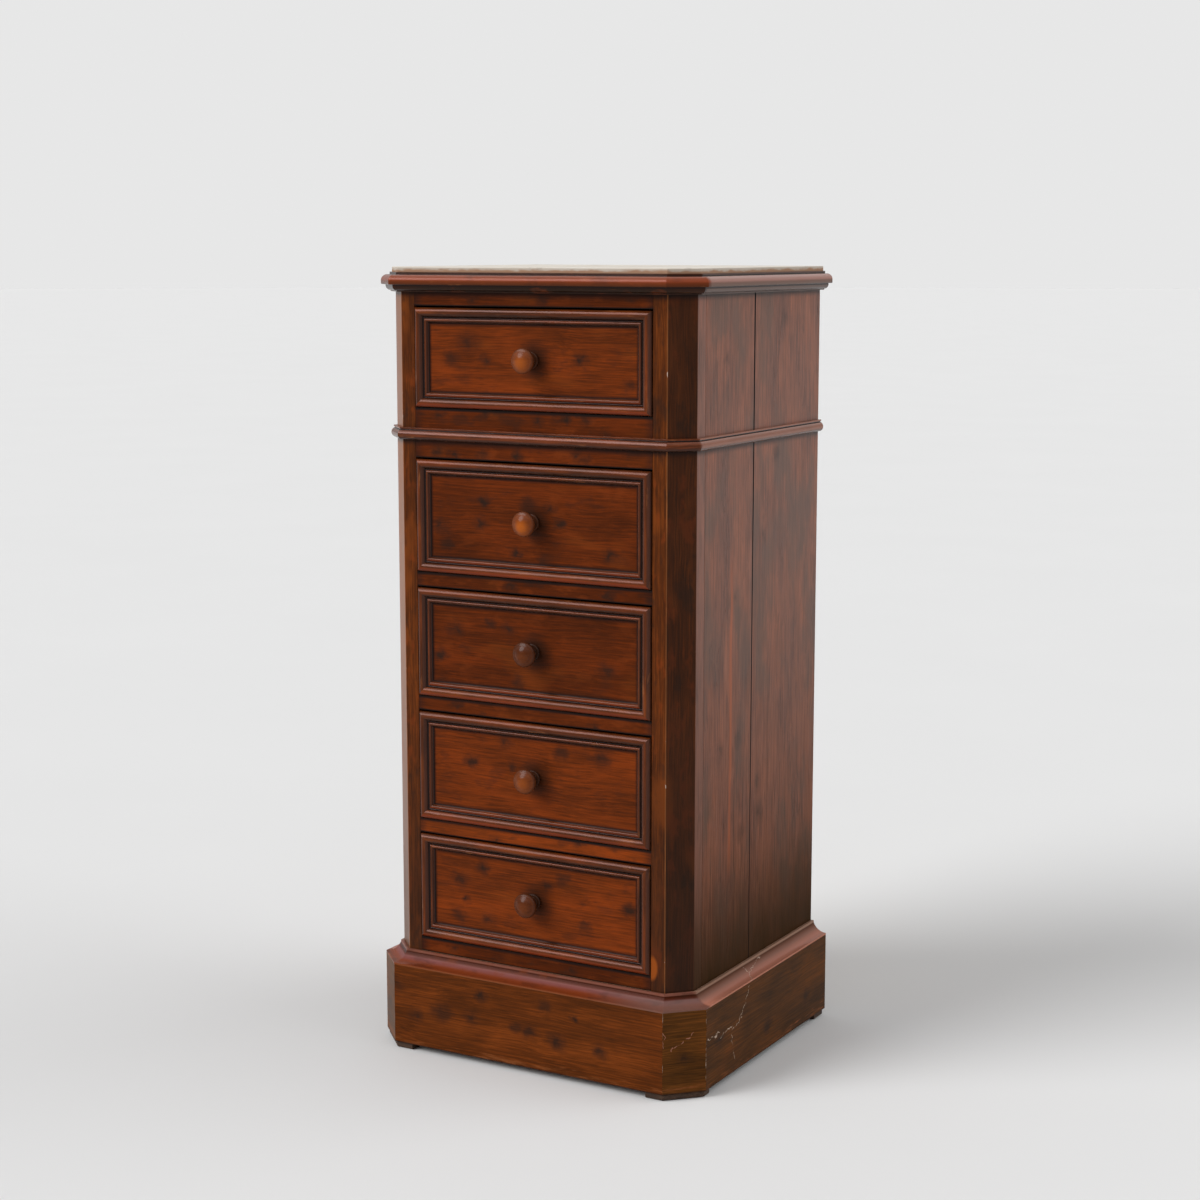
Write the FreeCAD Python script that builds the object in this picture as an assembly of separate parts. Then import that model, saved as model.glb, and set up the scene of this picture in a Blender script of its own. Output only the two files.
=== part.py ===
import FreeCAD, Part
import math
import os

Vector = FreeCAD.Vector

# A narrow five-drawer chest with canted front corners, a cornice, a waist bead, a coved plinth
# and a stone slab let into the top. Millimetres, +Z up, front towards -Y, +X to the right as seen
# from the front. The origin is on the floor, under the middle of the whole object.

# Case
body_width = 468.0
body_depth = 407.0
cant_leg = 29.0
stile_width = 21.0
post_depth = 52.0
side_thickness = 20.0
side_joint_from_front = 195.0
side_joint_gap = 0.6
side_joint_taper = 2.4
side_tongue_thickness = 7.0
side_tongue_length = 8.0
back_thickness = 10.0
back_setback = 1.0
back_rebate_width = 10.0
back_board_count = 3
back_lap = 9.0
back_floor_gap = 46.0
case_bottom_thickness = 12.0
joint_clearance = 0.2

# Heights, from the floor up
foot_height = 10.0
plinth_height = 113.0
cove_height = 19.0
bottom_rail_height = 21.0
opening_5_height = 152.0
opening_4_height = 155.0
opening_3_height = 154.0
opening_2_height = 158.0
opening_1_height = 138.0
drawer_rail_height = 20.0
waist_rail_height = 68.0
top_rail_height = 23.0
sub_top_thickness = 14.0
slab_thickness = 15.0

# Rails and their tenons
rail_depth = 70.0
tenon_length = 22.0
tenon_depth = 30.0
tenon_setback = 10.0
tenon_shoulder = 4.0

# Runners, guides and stops inside the case
runner_bearing = 18.0
guide_height = 22.0
runner_end_gap = 2.0
stop_width = 30.0
stop_depth = 12.0
stop_height = 6.0
stop_inset = 79.0
stop_clearance = 0.3

# Cornice: out from the case, with a lip round the slab
cornice_overhang = 19.0
cornice_lap = 4.5
cornice_bed = 6.5
cornice_ovolo = 6.5
cornice_quirk = 1.5
cornice_nose_height = 5.0
cornice_nose_round = 1.2
cornice_shoulder = 9.5
cornice_lip_reach = 7.5
cornice_lip_height = 3.5
slab_overhang = 4.5
slab_clearance = 0.5
slab_sunk = 8.0
slab_round = 1.5

# Waist bead
waist_bead_rise = 24.0
waist_bead_height = 16.6
waist_bead_reach = 8.0
waist_fillet_reach = 4.8
waist_fillet_height = 2.2
waist_quirk = 1.2

# Plinth, its cove and the feet
plinth_overhang = 24.5
cove_arris = 2.4
cove_arris_step = 1.3
cove_fillet_reach = 4.5
cove_fillet_height = 2.5
cove_sag = 3.6
foot_inset = 3.0
foot_round = 3.5
foot_front_arm = 26.0
foot_side_arm = 14.0
foot_rear_width = 46.0
foot_rear_depth = 28.0

# Drawers
drawer_side_gap = 1.5
drawer_top_gap = 2.4
drawer_bottom_gap = 0.8
running_clearance = 0.3
front_recess = 3.0
front_thickness = 20.0
front_lap = 6.0
drawer_side_thickness = 11.0
drawer_side_drop = 5.0
drawer_back_thickness = 10.0
drawer_back_drop = 8.0
drawer_back_gap = 8.0
bottom_thickness = 7.0
bottom_rise = 9.0
bottom_groove = 6.0
tail_count = 3
tail_flare = 2.2
pin_width = 14.0

# Mitred frame moulding on each drawer front: a broad torus, a quirk and a small bead
moulding_width = 21.5
moulding_edge = 4.0
torus_width = 12.2
torus_height = 8.2
quirk_width = 2.4
quirk_height = 2.6
bead_width = 4.8
bead_height = 4.9
moulding_toe = 0.6

# Turned knob
knob_length = 31.5
knob_head_radius = 17.2
knob_head_thickness = 15.0
knob_crown_radius = 13.5
knob_crown_height = 5.0
knob_under_rise = 2.0
knob_neck_radius = 6.5
knob_neck_flare = 1.2
knob_collar_radius = 12.0
knob_collar_thickness = 4.6
knob_collar_bulge = 1.2
knob_tenon_radius = 5.0
knob_tenon_length = 15.0
knob_flats = 28
knob_arc_chords = 2

# Places that follow from the sizes
half_width = body_width / 2
opening_half = half_width - cant_leg - stile_width
side_inner = half_width - side_thickness
knob_reach = knob_length - front_recess
y_back = (body_depth + knob_reach) / 2
y_front = y_back - body_depth
y_post_back = y_front + post_depth
y_rail_back = y_front + rail_depth
y_back_face = y_back - back_setback
y_back_board = y_back_face - back_thickness
y_field = y_front + front_recess
y_drawer_inner = y_field + front_thickness
y_drawer_back = y_back_board - drawer_back_gap
z_plinth_top = foot_height + plinth_height
z_cove_top = z_plinth_top + cove_height
mitre_slope = math.tan(math.pi / 8)

rail_stack = (
    ("bottom_rail", bottom_rail_height),
    ("drawer_rail_4", drawer_rail_height),
    ("drawer_rail_3", drawer_rail_height),
    ("drawer_rail_2", drawer_rail_height),
    ("waist_rail", waist_rail_height),
    ("top_rail", top_rail_height),
)
opening_heights = (
    opening_5_height, opening_4_height, opening_3_height, opening_2_height, opening_1_height,
)


def stack_levels():
    """Levels of the rails, and of the drawer openings between them, from the bottom up."""
    rails = []
    openings = []
    level = z_cove_top
    for place, (name, height) in enumerate(rail_stack):
        rails.append((name, level, level + height))
        level += height
        if place < len(opening_heights):
            openings.append((level, level + opening_heights[place]))
            level += opening_heights[place]
    return rails, openings


rails, openings = stack_levels()
z_case_top = rails[-1][2]
z_slab_bottom = z_case_top + sub_top_thickness
z_cornice_top = z_slab_bottom + slab_sunk
z_cornice_bottom = z_case_top - cornice_lap
z_slab_top = z_slab_bottom + slab_thickness
waist_rail_level = next(z0 for name, z0, z1 in rails if name == "waist_rail")


# Building blocks

def box(x0, x1, y0, y1, z0, z1):
    return Part.makeBox(x1 - x0, y1 - y0, z1 - z0, Vector(x0, y0, z0))


def prism(points, z0, z1):
    """Upright prism over plan points."""
    corners = [Vector(p.x, p.y, z0) for p in points]
    return Part.Face(Part.makePolygon(corners + corners[:1])).extrude(Vector(0, 0, z1 - z0))


def mirrored(shape):
    return shape.mirror(Vector(0, 0, 0), Vector(1, 0, 0))


def merged(shape, others):
    return shape.fuse(others).removeSplitter()


def save(name, solids):
    shape = solids[0] if len(solids) == 1 else Part.makeCompound(solids)
    shape.exportStep("parts/" + name + ".step")


def profile_face(path, origin, u_dir, v_dir):
    """Closed face: a step of two values is a line's end, one of four an arc's middle and end."""
    def at(u, v):
        return origin + u_dir * u + v_dir * v

    here = at(*path[0])
    edges = []
    for step in path[1:] + path[:1]:
        end = at(*step[-2:])
        if len(step) == 4:
            edges.append(Part.Arc(here, at(*step[:2]), end).toShape())
        else:
            edges.append(Part.LineSegment(here, end).toShape())
        here = end
    return Part.Face(Part.Wire(edges))


def mitred_length(path, start, along, u_dir, v_dir, length, start_slope, end_slope):
    """Moulding length whose ends lean along the run by their slope for each unit of u."""
    margin = 1.0
    u_far = max(max(step[0::2]) for step in path) + margin
    v_low = min(min(step[1::2]) for step in path) - margin
    v_high = max(max(step[1::2]) for step in path) + margin
    spare = u_far + margin
    bar = profile_face(path, start - along * spare, u_dir, v_dir).extrude(along * (length + 2 * spare))
    corners = []
    for u, offset, slope in (
        (-margin, 0.0, start_slope), (u_far, 0.0, start_slope),
        (u_far, length, end_slope), (-margin, length, end_slope),
    ):
        corners.append(start + u_dir * u + along * (offset + slope * u) + v_dir * v_low)
    mask = Part.Face(Part.makePolygon(corners + corners[:1])).extrude(v_dir * (v_high - v_low))
    return bar.common(mask).Solids[0]


def turned(path, foot):
    """Solid turned in flats about the line from foot towards the front, from radius and length steps."""
    on_axis = 1e-6
    rows = [path[0]]
    for step in path[1:]:
        if len(step) == 4:
            u, v = rows[-1]
            arc = Part.Arc(Vector(u, v, 0), Vector(*step[:2], 0), Vector(*step[2:], 0)).toShape()
            rows += [(point.x, point.y) for point in arc.discretize(knob_arc_chords + 1)[1:]]
        else:
            rows.append(step)

    def at(row, flat):
        angle = 2 * math.pi * flat / knob_flats
        return foot + Vector(row[0] * math.cos(angle), -row[1], row[0] * math.sin(angle))

    faces = []
    for low, high in zip(rows, rows[1:]):
        for flat in range(knob_flats):
            corners = [at(low, flat), at(low, flat + 1), at(high, flat + 1), at(high, flat)]
            if low[0] < on_axis:
                corners.pop(0)
            if high[0] < on_axis:
                corners.pop(2)
            faces.append(Part.Face(Part.makePolygon(corners + corners[:1])))
    shell = Part.makeShell(faces)
    shell.sewShape()
    solid = Part.makeSolid(shell)
    if solid.Volume < 0:
        solid.reverse()
    return solid


def plan_outline(offset):
    """Case outline in plan from the back left round the front to the back right, grown by offset."""
    corners = [
        Vector(-half_width, y_back, 0),
        Vector(-half_width, y_front + cant_leg, 0),
        Vector(-half_width + cant_leg, y_front, 0),
        Vector(half_width - cant_leg, y_front, 0),
        Vector(half_width, y_front + cant_leg, 0),
        Vector(half_width, y_back, 0),
    ]
    normals = []
    for start, end in zip(corners, corners[1:]):
        along = (end - start).normalize()
        normals.append(Vector(along.y, -along.x, 0))
    grown = []
    for place, corner in enumerate(corners):
        before = normals[max(place - 1, 0)]
        after = normals[min(place, len(normals) - 1)]
        grown.append(corner + (before + after) * (offset / (1 + before.dot(after))))
    return grown


def case_moulding(path):
    """Five mitred lengths of one profile: left side, left cant, front, right cant, right side."""
    corners = plan_outline(0)
    lengths = []
    last = len(corners) - 2
    for place, (start, end) in enumerate(zip(corners, corners[1:])):
        along = (end - start).normalize()
        outward = Vector(along.y, -along.x, 0)
        start_slope = -mitre_slope if place > 0 else 0.0
        end_slope = mitre_slope if place < last else 0.0
        lengths.append(mitred_length(
            path, start, along, outward, Vector(0, 0, 1), start.distanceToPoint(end),
            start_slope, end_slope))
    return lengths


# Case

def tenon_box(z0, z1, grow):
    """Tenon at a rail's right end, grown all round for its mortise."""
    return box(
        opening_half - grow, opening_half + tenon_length + grow,
        y_front + tenon_setback - grow, y_front + tenon_setback + tenon_depth + grow,
        z0 + tenon_shoulder - grow, z1 - tenon_shoulder + grow)


def side_tongue(y_root, grow):
    """Tongue on a right side board's front edge, grown for its groove."""
    middle = half_width - side_thickness / 2
    reach = side_tongue_thickness / 2 + grow
    return box(
        middle - reach, middle + reach,
        y_root - side_tongue_length - grow, y_root,
        foot_height, z_case_top)


def right_post():
    outline = [
        Vector(opening_half, y_front, 0),
        Vector(half_width - cant_leg, y_front, 0),
        Vector(half_width, y_front + cant_leg, 0),
        Vector(half_width, y_post_back, 0),
        Vector(opening_half, y_post_back, 0),
    ]
    post = prism(outline, foot_height, z_case_top)
    cuts = [tenon_box(z0, z1, joint_clearance) for _, z0, z1 in rails]
    cuts.append(side_tongue(y_post_back, joint_clearance))
    return post.cut(cuts)


def right_side_boards():
    """Front and rear board tongued together, with a joint that has opened towards the top."""
    y_joint = y_front + side_joint_from_front
    front = box(side_inner, half_width, y_post_back, y_joint, foot_height, z_case_top)
    front = merged(front, [side_tongue(y_post_back, 0)])
    y_rear = y_joint + side_joint_gap
    front = front.cut(side_tongue(y_rear, joint_clearance))
    y_open = y_rear + side_joint_taper
    corners = [
        Vector(side_inner, y_rear, foot_height), Vector(side_inner, y_back, foot_height),
        Vector(side_inner, y_back, z_case_top), Vector(side_inner, y_open, z_case_top),
    ]
    rear = Part.Face(Part.makePolygon(corners + corners[:1])).extrude(Vector(side_thickness, 0, 0))
    rear = merged(rear, [side_tongue(y_open, 0)])
    rebate = box(
        side_inner, half_width - back_rebate_width, y_back_board, y_back, foot_height, z_case_top)
    return front, rear.cut(rebate)


def rail(z0, z1):
    bar = box(-opening_half, opening_half, y_front, y_rail_back, z0, z1)
    tenon = tenon_box(z0, z1, 0)
    return merged(bar, [tenon, mirrored(tenon)])


def back_boards():
    """Upright boards that lap each other by half their thickness."""
    left = -half_width + back_rebate_width
    pitch = (body_width - 2 * back_rebate_width) / back_board_count
    y_middle = y_back_board + back_thickness / 2
    z0 = foot_height + back_floor_gap
    boards = []
    for place in range(back_board_count):
        x0 = left + place * pitch
        x1 = x0 + pitch
        board = box(x0, x1, y_back_board, y_back_face, z0, z_case_top)
        if place > 0:
            board = board.cut(box(x0, x0 + joint_clearance, y_back_board, y_back_face, z0, z_case_top))
            lapped = box(x0, x0 + back_lap + joint_clearance, y_back_board, y_middle, z0, z_case_top)
            board = board.cut(lapped)
        if place < back_board_count - 1:
            tongue = box(x1, x1 + back_lap, y_back_board, y_middle - joint_clearance, z0, z_case_top)
            board = merged(board, [tongue])
        boards.append(board)
    return boards


def case_bottom():
    outline = [
        Vector(-opening_half, y_front, 0), Vector(opening_half, y_front, 0),
        Vector(opening_half, y_post_back, 0), Vector(side_inner, y_post_back, 0),
        Vector(side_inner, y_back_board, 0), Vector(-side_inner, y_back_board, 0),
        Vector(-side_inner, y_post_back, 0), Vector(-opening_half, y_post_back, 0),
    ]
    return prism(outline, z_cove_top - case_bottom_thickness, z_cove_top)


def drawer_runners():
    """A runner with a guide strip on it at each side of every drawer, and kickers over the top one.

    The strips are as tall as their rail, but the waist rail's are as tall as a plain drawer rail.
    """
    y_end = y_back_board - runner_end_gap
    x_bearing = opening_half - runner_bearing
    strips = []
    for name, z0, z1 in rails:
        strip_height = drawer_rail_height if name == "waist_rail" else z1 - z0
        strips.append(box(x_bearing, side_inner, y_rail_back, y_end, z1 - strip_height, z1))
        if name != "top_rail":
            strips.append(box(opening_half, side_inner, y_rail_back, y_end, z1, z1 + guide_height))
    return strips + [mirrored(strip) for strip in strips]


def drawer_stops():
    """Two blocks on each rail that a drawer front comes to rest against."""
    x1 = opening_half - stop_inset
    y0 = y_drawer_inner + stop_clearance
    blocks = []
    for _, _, z1 in rails[:-1]:
        blocks.append(box(x1 - stop_width, x1, y0, y0 + stop_depth, z1, z1 + stop_height))
    return blocks + [mirrored(block) for block in blocks]


# Mouldings, plinth, feet and slab

def cornice_path():
    u_ovolo = cornice_bed + cornice_ovolo
    z_ovolo = z_cornice_bottom + cornice_quirk + cornice_ovolo
    z_nose = z_ovolo + cornice_quirk
    z_nose_side = z_nose + cornice_nose_round
    z_swell = z_nose_side + cornice_nose_height
    z_shoulder = z_cornice_top - cornice_lip_height
    diagonal = math.sqrt(0.5)
    u_nose = cornice_overhang - cornice_nose_round
    lip_inner = slab_overhang + slab_clearance
    return [
        (0, z_cornice_bottom),
        (cornice_bed, z_cornice_bottom),
        (cornice_bed, z_cornice_bottom + cornice_quirk),
        (cornice_bed + cornice_ovolo * diagonal, z_ovolo - cornice_ovolo * diagonal, u_ovolo, z_ovolo),
        (u_ovolo, z_nose),
        (u_nose, z_nose),
        (u_nose + cornice_nose_round * diagonal, z_nose_side - cornice_nose_round * diagonal,
         cornice_overhang, z_nose_side),
        (cornice_overhang, z_swell),
        (cornice_shoulder + (cornice_overhang - cornice_shoulder) * diagonal,
         z_swell + (z_shoulder - z_swell) * diagonal,
         cornice_shoulder, z_shoulder),
        (cornice_lip_reach, z_shoulder),
        (cornice_lip_reach, z_cornice_top),
        (lip_inner, z_cornice_top),
        (lip_inner, z_slab_bottom),
        (0, z_slab_bottom),
    ]


def waist_path():
    z0 = waist_rail_level + waist_bead_rise
    z1 = z0 + waist_bead_height
    z_fillet = z1 - waist_fillet_height
    z_quirk = z_fillet - waist_quirk
    u_quirk = waist_fillet_reach - waist_quirk
    return [
        (0, z0),
        (u_quirk, z0),
        (waist_bead_reach, (z0 + z_quirk) / 2, u_quirk, z_quirk),
        (u_quirk, z_fillet),
        (waist_fillet_reach, z_fillet),
        (waist_fillet_reach, z1),
        (0, z1),
    ]


def cove_path():
    z_arris = z_plinth_top + cove_arris
    z_fillet = z_cove_top - cove_fillet_height
    u_arris = plinth_overhang - cove_arris_step
    run = u_arris - cove_fillet_reach
    rise = z_fillet - z_arris
    chord = math.hypot(run, rise)
    u_middle = (u_arris + cove_fillet_reach) / 2 - cove_sag * rise / chord
    z_middle = (z_arris + z_fillet) / 2 - cove_sag * run / chord
    return [
        (0, z_plinth_top),
        (plinth_overhang, z_plinth_top),
        (plinth_overhang, z_arris),
        (u_arris, z_arris),
        (u_middle, z_middle, cove_fillet_reach, z_fillet),
        (cove_fillet_reach, z_cove_top),
        (0, z_cove_top),
    ]


def plinth_boards():
    """Five mitred boards: left side, left cant, front, right cant, right side."""
    inner = plan_outline(0)
    outer = plan_outline(plinth_overhang)
    boards = []
    for place in range(len(inner) - 1):
        outline = [inner[place], inner[place + 1], outer[place + 1], outer[place]]
        boards.append(prism(outline, foot_height, z_plinth_top))
    return boards


def pad(outline, exposed):
    """Foot pad whose first exposed sides in plan are rounded above and below."""
    solid = prism(outline, 0, foot_height)
    middles = [(start + end) * 0.5 for start, end in zip(outline, outline[1:])][:exposed]
    edges = []
    for edge in solid.Edges:
        centre = edge.CenterOfMass
        to_face = min(centre.z, foot_height - centre.z)
        below = Vector(centre.x, centre.y, 0)
        to_side = min(below.distanceToPoint(middle) for middle in middles)
        if max(to_face, to_side) < foot_round:
            edges.append(edge)
    return solid.makeFillet(foot_round, edges)


def feet():
    """Canted pads under the front corners and plain ones under the back corners."""
    _, _, _, front_corner, side_corner, back_corner = plan_outline(plinth_overhang - foot_inset)
    x0 = front_corner.x - foot_front_arm
    y1 = side_corner.y + foot_side_arm
    front = pad([
        Vector(x0, front_corner.y, 0), front_corner, side_corner,
        Vector(side_corner.x, y1, 0), Vector(x0, y1, 0)], exposed=3)
    x_inner = back_corner.x - foot_rear_width
    y_heel = back_corner.y - foot_inset
    y_toe = y_heel - foot_rear_depth
    rear = pad([
        Vector(back_corner.x, y_heel, 0), Vector(back_corner.x, y_toe, 0),
        Vector(x_inner, y_toe, 0), Vector(x_inner, y_heel, 0)], exposed=2)
    return [front, mirrored(front), rear, mirrored(rear)]


def stone_slab():
    """Slab with its exposed upper edges rounded."""
    slab = prism(plan_outline(slab_overhang), z_slab_bottom, z_slab_top)
    exposed = []
    for edge in slab.Edges:
        middle = edge.CenterOfMass
        if abs(middle.z - z_slab_top) < slab_round and middle.y < y_back - slab_round:
            exposed.append(edge)
    return slab.makeFillet(slab_round, exposed)


# Drawers

def tails(z0, z1, y_root, y_tip, x0, x1, grow):
    """Dovetail tails spread evenly from z0 to z1 that widen from their root to their tip."""
    pitch = (z1 - z0) / tail_count
    solids = []
    for place in range(tail_count):
        middle = z0 + pitch * place + pitch / 2
        tip = (pitch - pin_width) / 2 + grow
        root = tip - tail_flare
        corners = [
            Vector(x0, y_root, middle - root), Vector(x0, y_tip, middle - tip),
            Vector(x0, y_tip, middle + tip), Vector(x0, y_root, middle + root),
        ]
        face = Part.Face(Part.makePolygon(corners + corners[:1]))
        solids.append(face.extrude(Vector(x1 - x0, 0, 0)))
    return solids


def frame_moulding(half, z0, z1):
    """Four mitred lengths round a drawer front: bottom, right, top, left."""
    u_quirk = torus_width + quirk_width / 2
    u_bead = torus_width + quirk_width
    u_bead_end = u_bead + bead_width
    path = [
        (0, 0),
        (0, moulding_edge),
        (torus_width / 2, torus_height, torus_width, moulding_edge),
        (u_quirk, quirk_height),
        (u_bead, quirk_height),
        ((u_bead + u_bead_end) / 2, bead_height, u_bead_end, quirk_height),
        (moulding_width, moulding_toe),
        (moulding_width, 0),
    ]
    corners = [
        Vector(-half, y_field, z0), Vector(half, y_field, z0),
        Vector(half, y_field, z1), Vector(-half, y_field, z1),
    ]
    outward = Vector(0, -1, 0)
    lengths = []
    for start, end in zip(corners, corners[1:] + corners[:1]):
        along = (end - start).normalize()
        inward = outward.cross(along)
        lengths.append(mitred_length(
            path, start, along, inward, outward, start.distanceToPoint(end), 1.0, -1.0))
    return lengths


def knob(z):
    """Turned knob: tenon, half-round collar, waisted neck and flattened ball head."""
    head_back = knob_length - knob_head_thickness
    neck_end = knob_neck_radius + knob_neck_flare
    collar_edge = knob_collar_radius - knob_collar_bulge
    rim_back = head_back + knob_under_rise
    rim_front = knob_length - knob_crown_height
    crown_sphere = (knob_crown_radius ** 2 + knob_crown_height ** 2) / (2 * knob_crown_height)
    half_angle = math.asin(knob_crown_radius / crown_sphere) / 2
    path = [
        (0, -knob_tenon_length),
        (knob_tenon_radius, -knob_tenon_length),
        (knob_tenon_radius, 0),
        (collar_edge, 0),
        (knob_collar_radius, knob_collar_thickness / 2, collar_edge, knob_collar_thickness),
        (neck_end, knob_collar_thickness),
        (knob_neck_radius, (knob_collar_thickness + head_back) / 2, neck_end, head_back),
        (knob_crown_radius, rim_back),
        (knob_head_radius, (rim_back + rim_front) / 2, knob_crown_radius, rim_front),
        (crown_sphere * math.sin(half_angle), knob_length - crown_sphere * (1 - math.cos(half_angle)),
         0, knob_length),
    ]
    return turned(path, Vector(0, y_field, z))


def make_drawer(number, z_low, z_high):
    """One drawer and its loose pieces, standing on the rail and runners at z_low."""
    name = "drawer_%d_" % number
    half = opening_half - drawer_side_gap
    inner = half - drawer_side_thickness
    z_front = z_low + drawer_bottom_gap
    z_front_top = z_high - drawer_top_gap
    z_side = z_low + running_clearance
    z_side_top = z_high - drawer_side_drop
    z_panel = z_side + bottom_rise
    z_back = z_panel + bottom_thickness
    z_back_top = z_side_top - drawer_back_drop
    z_knob = (z_front + z_front_top) / 2
    y_lap = y_field + front_lap
    y_back_inner = y_drawer_back - drawer_back_thickness

    def bottom_panel(grow):
        return box(
            -inner - bottom_groove - grow, inner + bottom_groove + grow,
            y_drawer_inner - bottom_groove - grow, y_drawer_back + grow,
            z_panel - grow, z_panel + bottom_thickness + grow)

    def all_tails(grow):
        front = tails(z_side, z_side_top, y_drawer_inner, y_lap - grow, inner, half + grow, grow)
        rear = tails(z_back, z_back_top, y_back_inner, y_drawer_back, inner, half + grow, grow)
        return front, rear

    panel = bottom_panel(0)
    groove = bottom_panel(joint_clearance)
    front_tails, rear_tails = all_tails(0)
    front_sockets, rear_sockets = all_tails(joint_clearance)

    side = box(inner, half, y_drawer_inner, y_drawer_back, z_side, z_side_top)
    side = side.cut(box(inner, half, y_back_inner, y_drawer_back, z_back, z_back_top))
    side = merged(side, front_tails + rear_tails).cut(groove)

    turned = knob(z_knob)
    bore = Part.makeCylinder(
        knob_tenon_radius + joint_clearance, knob_tenon_length + joint_clearance,
        Vector(0, y_field, z_knob), Vector(0, 1, 0))
    front = box(-half, half, y_field, y_drawer_inner, z_front, z_front_top)
    front = front.cut(front_sockets + [mirrored(tail) for tail in front_sockets] + [groove, bore])

    back = box(-half, half, y_back_inner + joint_clearance, y_drawer_back, z_back, z_back_top)
    back = back.cut(rear_sockets + [mirrored(tail) for tail in rear_sockets])

    save(name + "front", [front])
    save(name + "right_side", [side])
    save(name + "left_side", [mirrored(side)])
    save(name + "back", [back])
    save(name + "bottom", [panel])
    save(name + "moulding", frame_moulding(half, z_front, z_front_top))
    save(name + "knob", [turned])


def make_case():
    post = right_post()
    front_board, rear_board = right_side_boards()
    save("right_post", [post])
    save("left_post", [mirrored(post)])
    save("right_side_front_board", [front_board])
    save("left_side_front_board", [mirrored(front_board)])
    save("right_side_rear_board", [rear_board])
    save("left_side_rear_board", [mirrored(rear_board)])
    for name, z0, z1 in rails:
        save(name, [rail(z0, z1)])
    save("back_boards", back_boards())
    save("case_bottom", [case_bottom()])
    save("drawer_runners", drawer_runners())
    save("drawer_stops", drawer_stops())
    save("sub_top", [prism(plan_outline(0), z_case_top, z_slab_bottom)])
    save("stone_slab", [stone_slab()])
    save("cornice", case_moulding(cornice_path()))
    save("waist_bead", case_moulding(waist_path()))
    save("plinth_cove", case_moulding(cove_path()))
    left, left_cant, front, right_cant, right = plinth_boards()
    save("plinth_front", [front])
    save("plinth_sides", [left, right])
    save("plinth_cants", [left_cant, right_cant])
    save("feet", feet())


os.makedirs("parts", exist_ok=True)
make_case()
for place, (opening_low, opening_high) in enumerate(openings):
    make_drawer(len(openings) - place, opening_low, opening_high)
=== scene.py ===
import cmath
import math

import bmesh
import bpy
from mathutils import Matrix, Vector


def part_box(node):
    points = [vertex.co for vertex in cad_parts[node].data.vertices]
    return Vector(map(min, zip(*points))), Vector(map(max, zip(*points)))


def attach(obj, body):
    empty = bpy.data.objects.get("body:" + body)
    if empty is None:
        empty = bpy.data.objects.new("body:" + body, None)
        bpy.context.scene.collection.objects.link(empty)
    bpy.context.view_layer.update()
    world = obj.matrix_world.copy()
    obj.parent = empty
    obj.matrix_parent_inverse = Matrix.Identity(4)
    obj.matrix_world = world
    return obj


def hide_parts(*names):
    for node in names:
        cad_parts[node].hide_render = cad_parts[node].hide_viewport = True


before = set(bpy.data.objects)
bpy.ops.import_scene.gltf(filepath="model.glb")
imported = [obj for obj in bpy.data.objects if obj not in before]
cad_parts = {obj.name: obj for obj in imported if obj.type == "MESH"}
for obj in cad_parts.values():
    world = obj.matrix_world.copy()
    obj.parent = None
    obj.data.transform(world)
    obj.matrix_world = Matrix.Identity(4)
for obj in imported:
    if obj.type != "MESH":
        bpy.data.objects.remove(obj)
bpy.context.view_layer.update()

# The dressed model of a narrow five-drawer chest: dark red-brown knotty wood, moulded and mitred trim,
# turned knobs and a thin stone slab. Metres, +Z up, front towards -Y.

MM = 0.001
# Share of a diagonal's length that runs along X or along Y
HALF_ROOT = math.sqrt(0.5)
# How far a mitre between a side and a cant leans along the moulding for each metre out
MITRE_SLOPE = math.tan(math.pi / 8)

# Case outline in plan, and levels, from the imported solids
HALF_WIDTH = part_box("right_post")[1].x
Y_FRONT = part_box("right_post")[0].y
Y_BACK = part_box("right_side_rear_board")[1].y
CANT_LEG = 29.0 * MM
JOINT_GAP = 0.6 * MM
JOINT_TAPER = 2.4 * MM
Z_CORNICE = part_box("cornice")[0].z
Z_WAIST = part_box("waist_bead")[0].z
Z_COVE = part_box("plinth_cove")[0].z
Z_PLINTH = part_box("plinth_front")[0].z
Y_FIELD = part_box("drawer_1_moulding")[1].y
DRAWERS = (1, 2, 3, 4, 5)
# Unpolished boards, with the axes along the grain, across it and through the board
DRAWER_BOX = (("left_side", "YZX"), ("right_side", "YZX"), ("back", "XZY"), ("bottom", "XYZ"))
INSIDE = (("case_bottom", "XYZ"), ("drawer_runners", "YXZ"), ("drawer_stops", "XYZ"), ("sub_top", "XYZ"))
RAILS = ("top_rail", "waist_rail", "drawer_rail_2", "drawer_rail_3", "drawer_rail_4", "bottom_rail")
SIDE_BOARDS = (
    "left_side_front_board", "left_side_rear_board", "right_side_front_board", "right_side_rear_board")
BACK_BOARD_COUNT = 3

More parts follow.
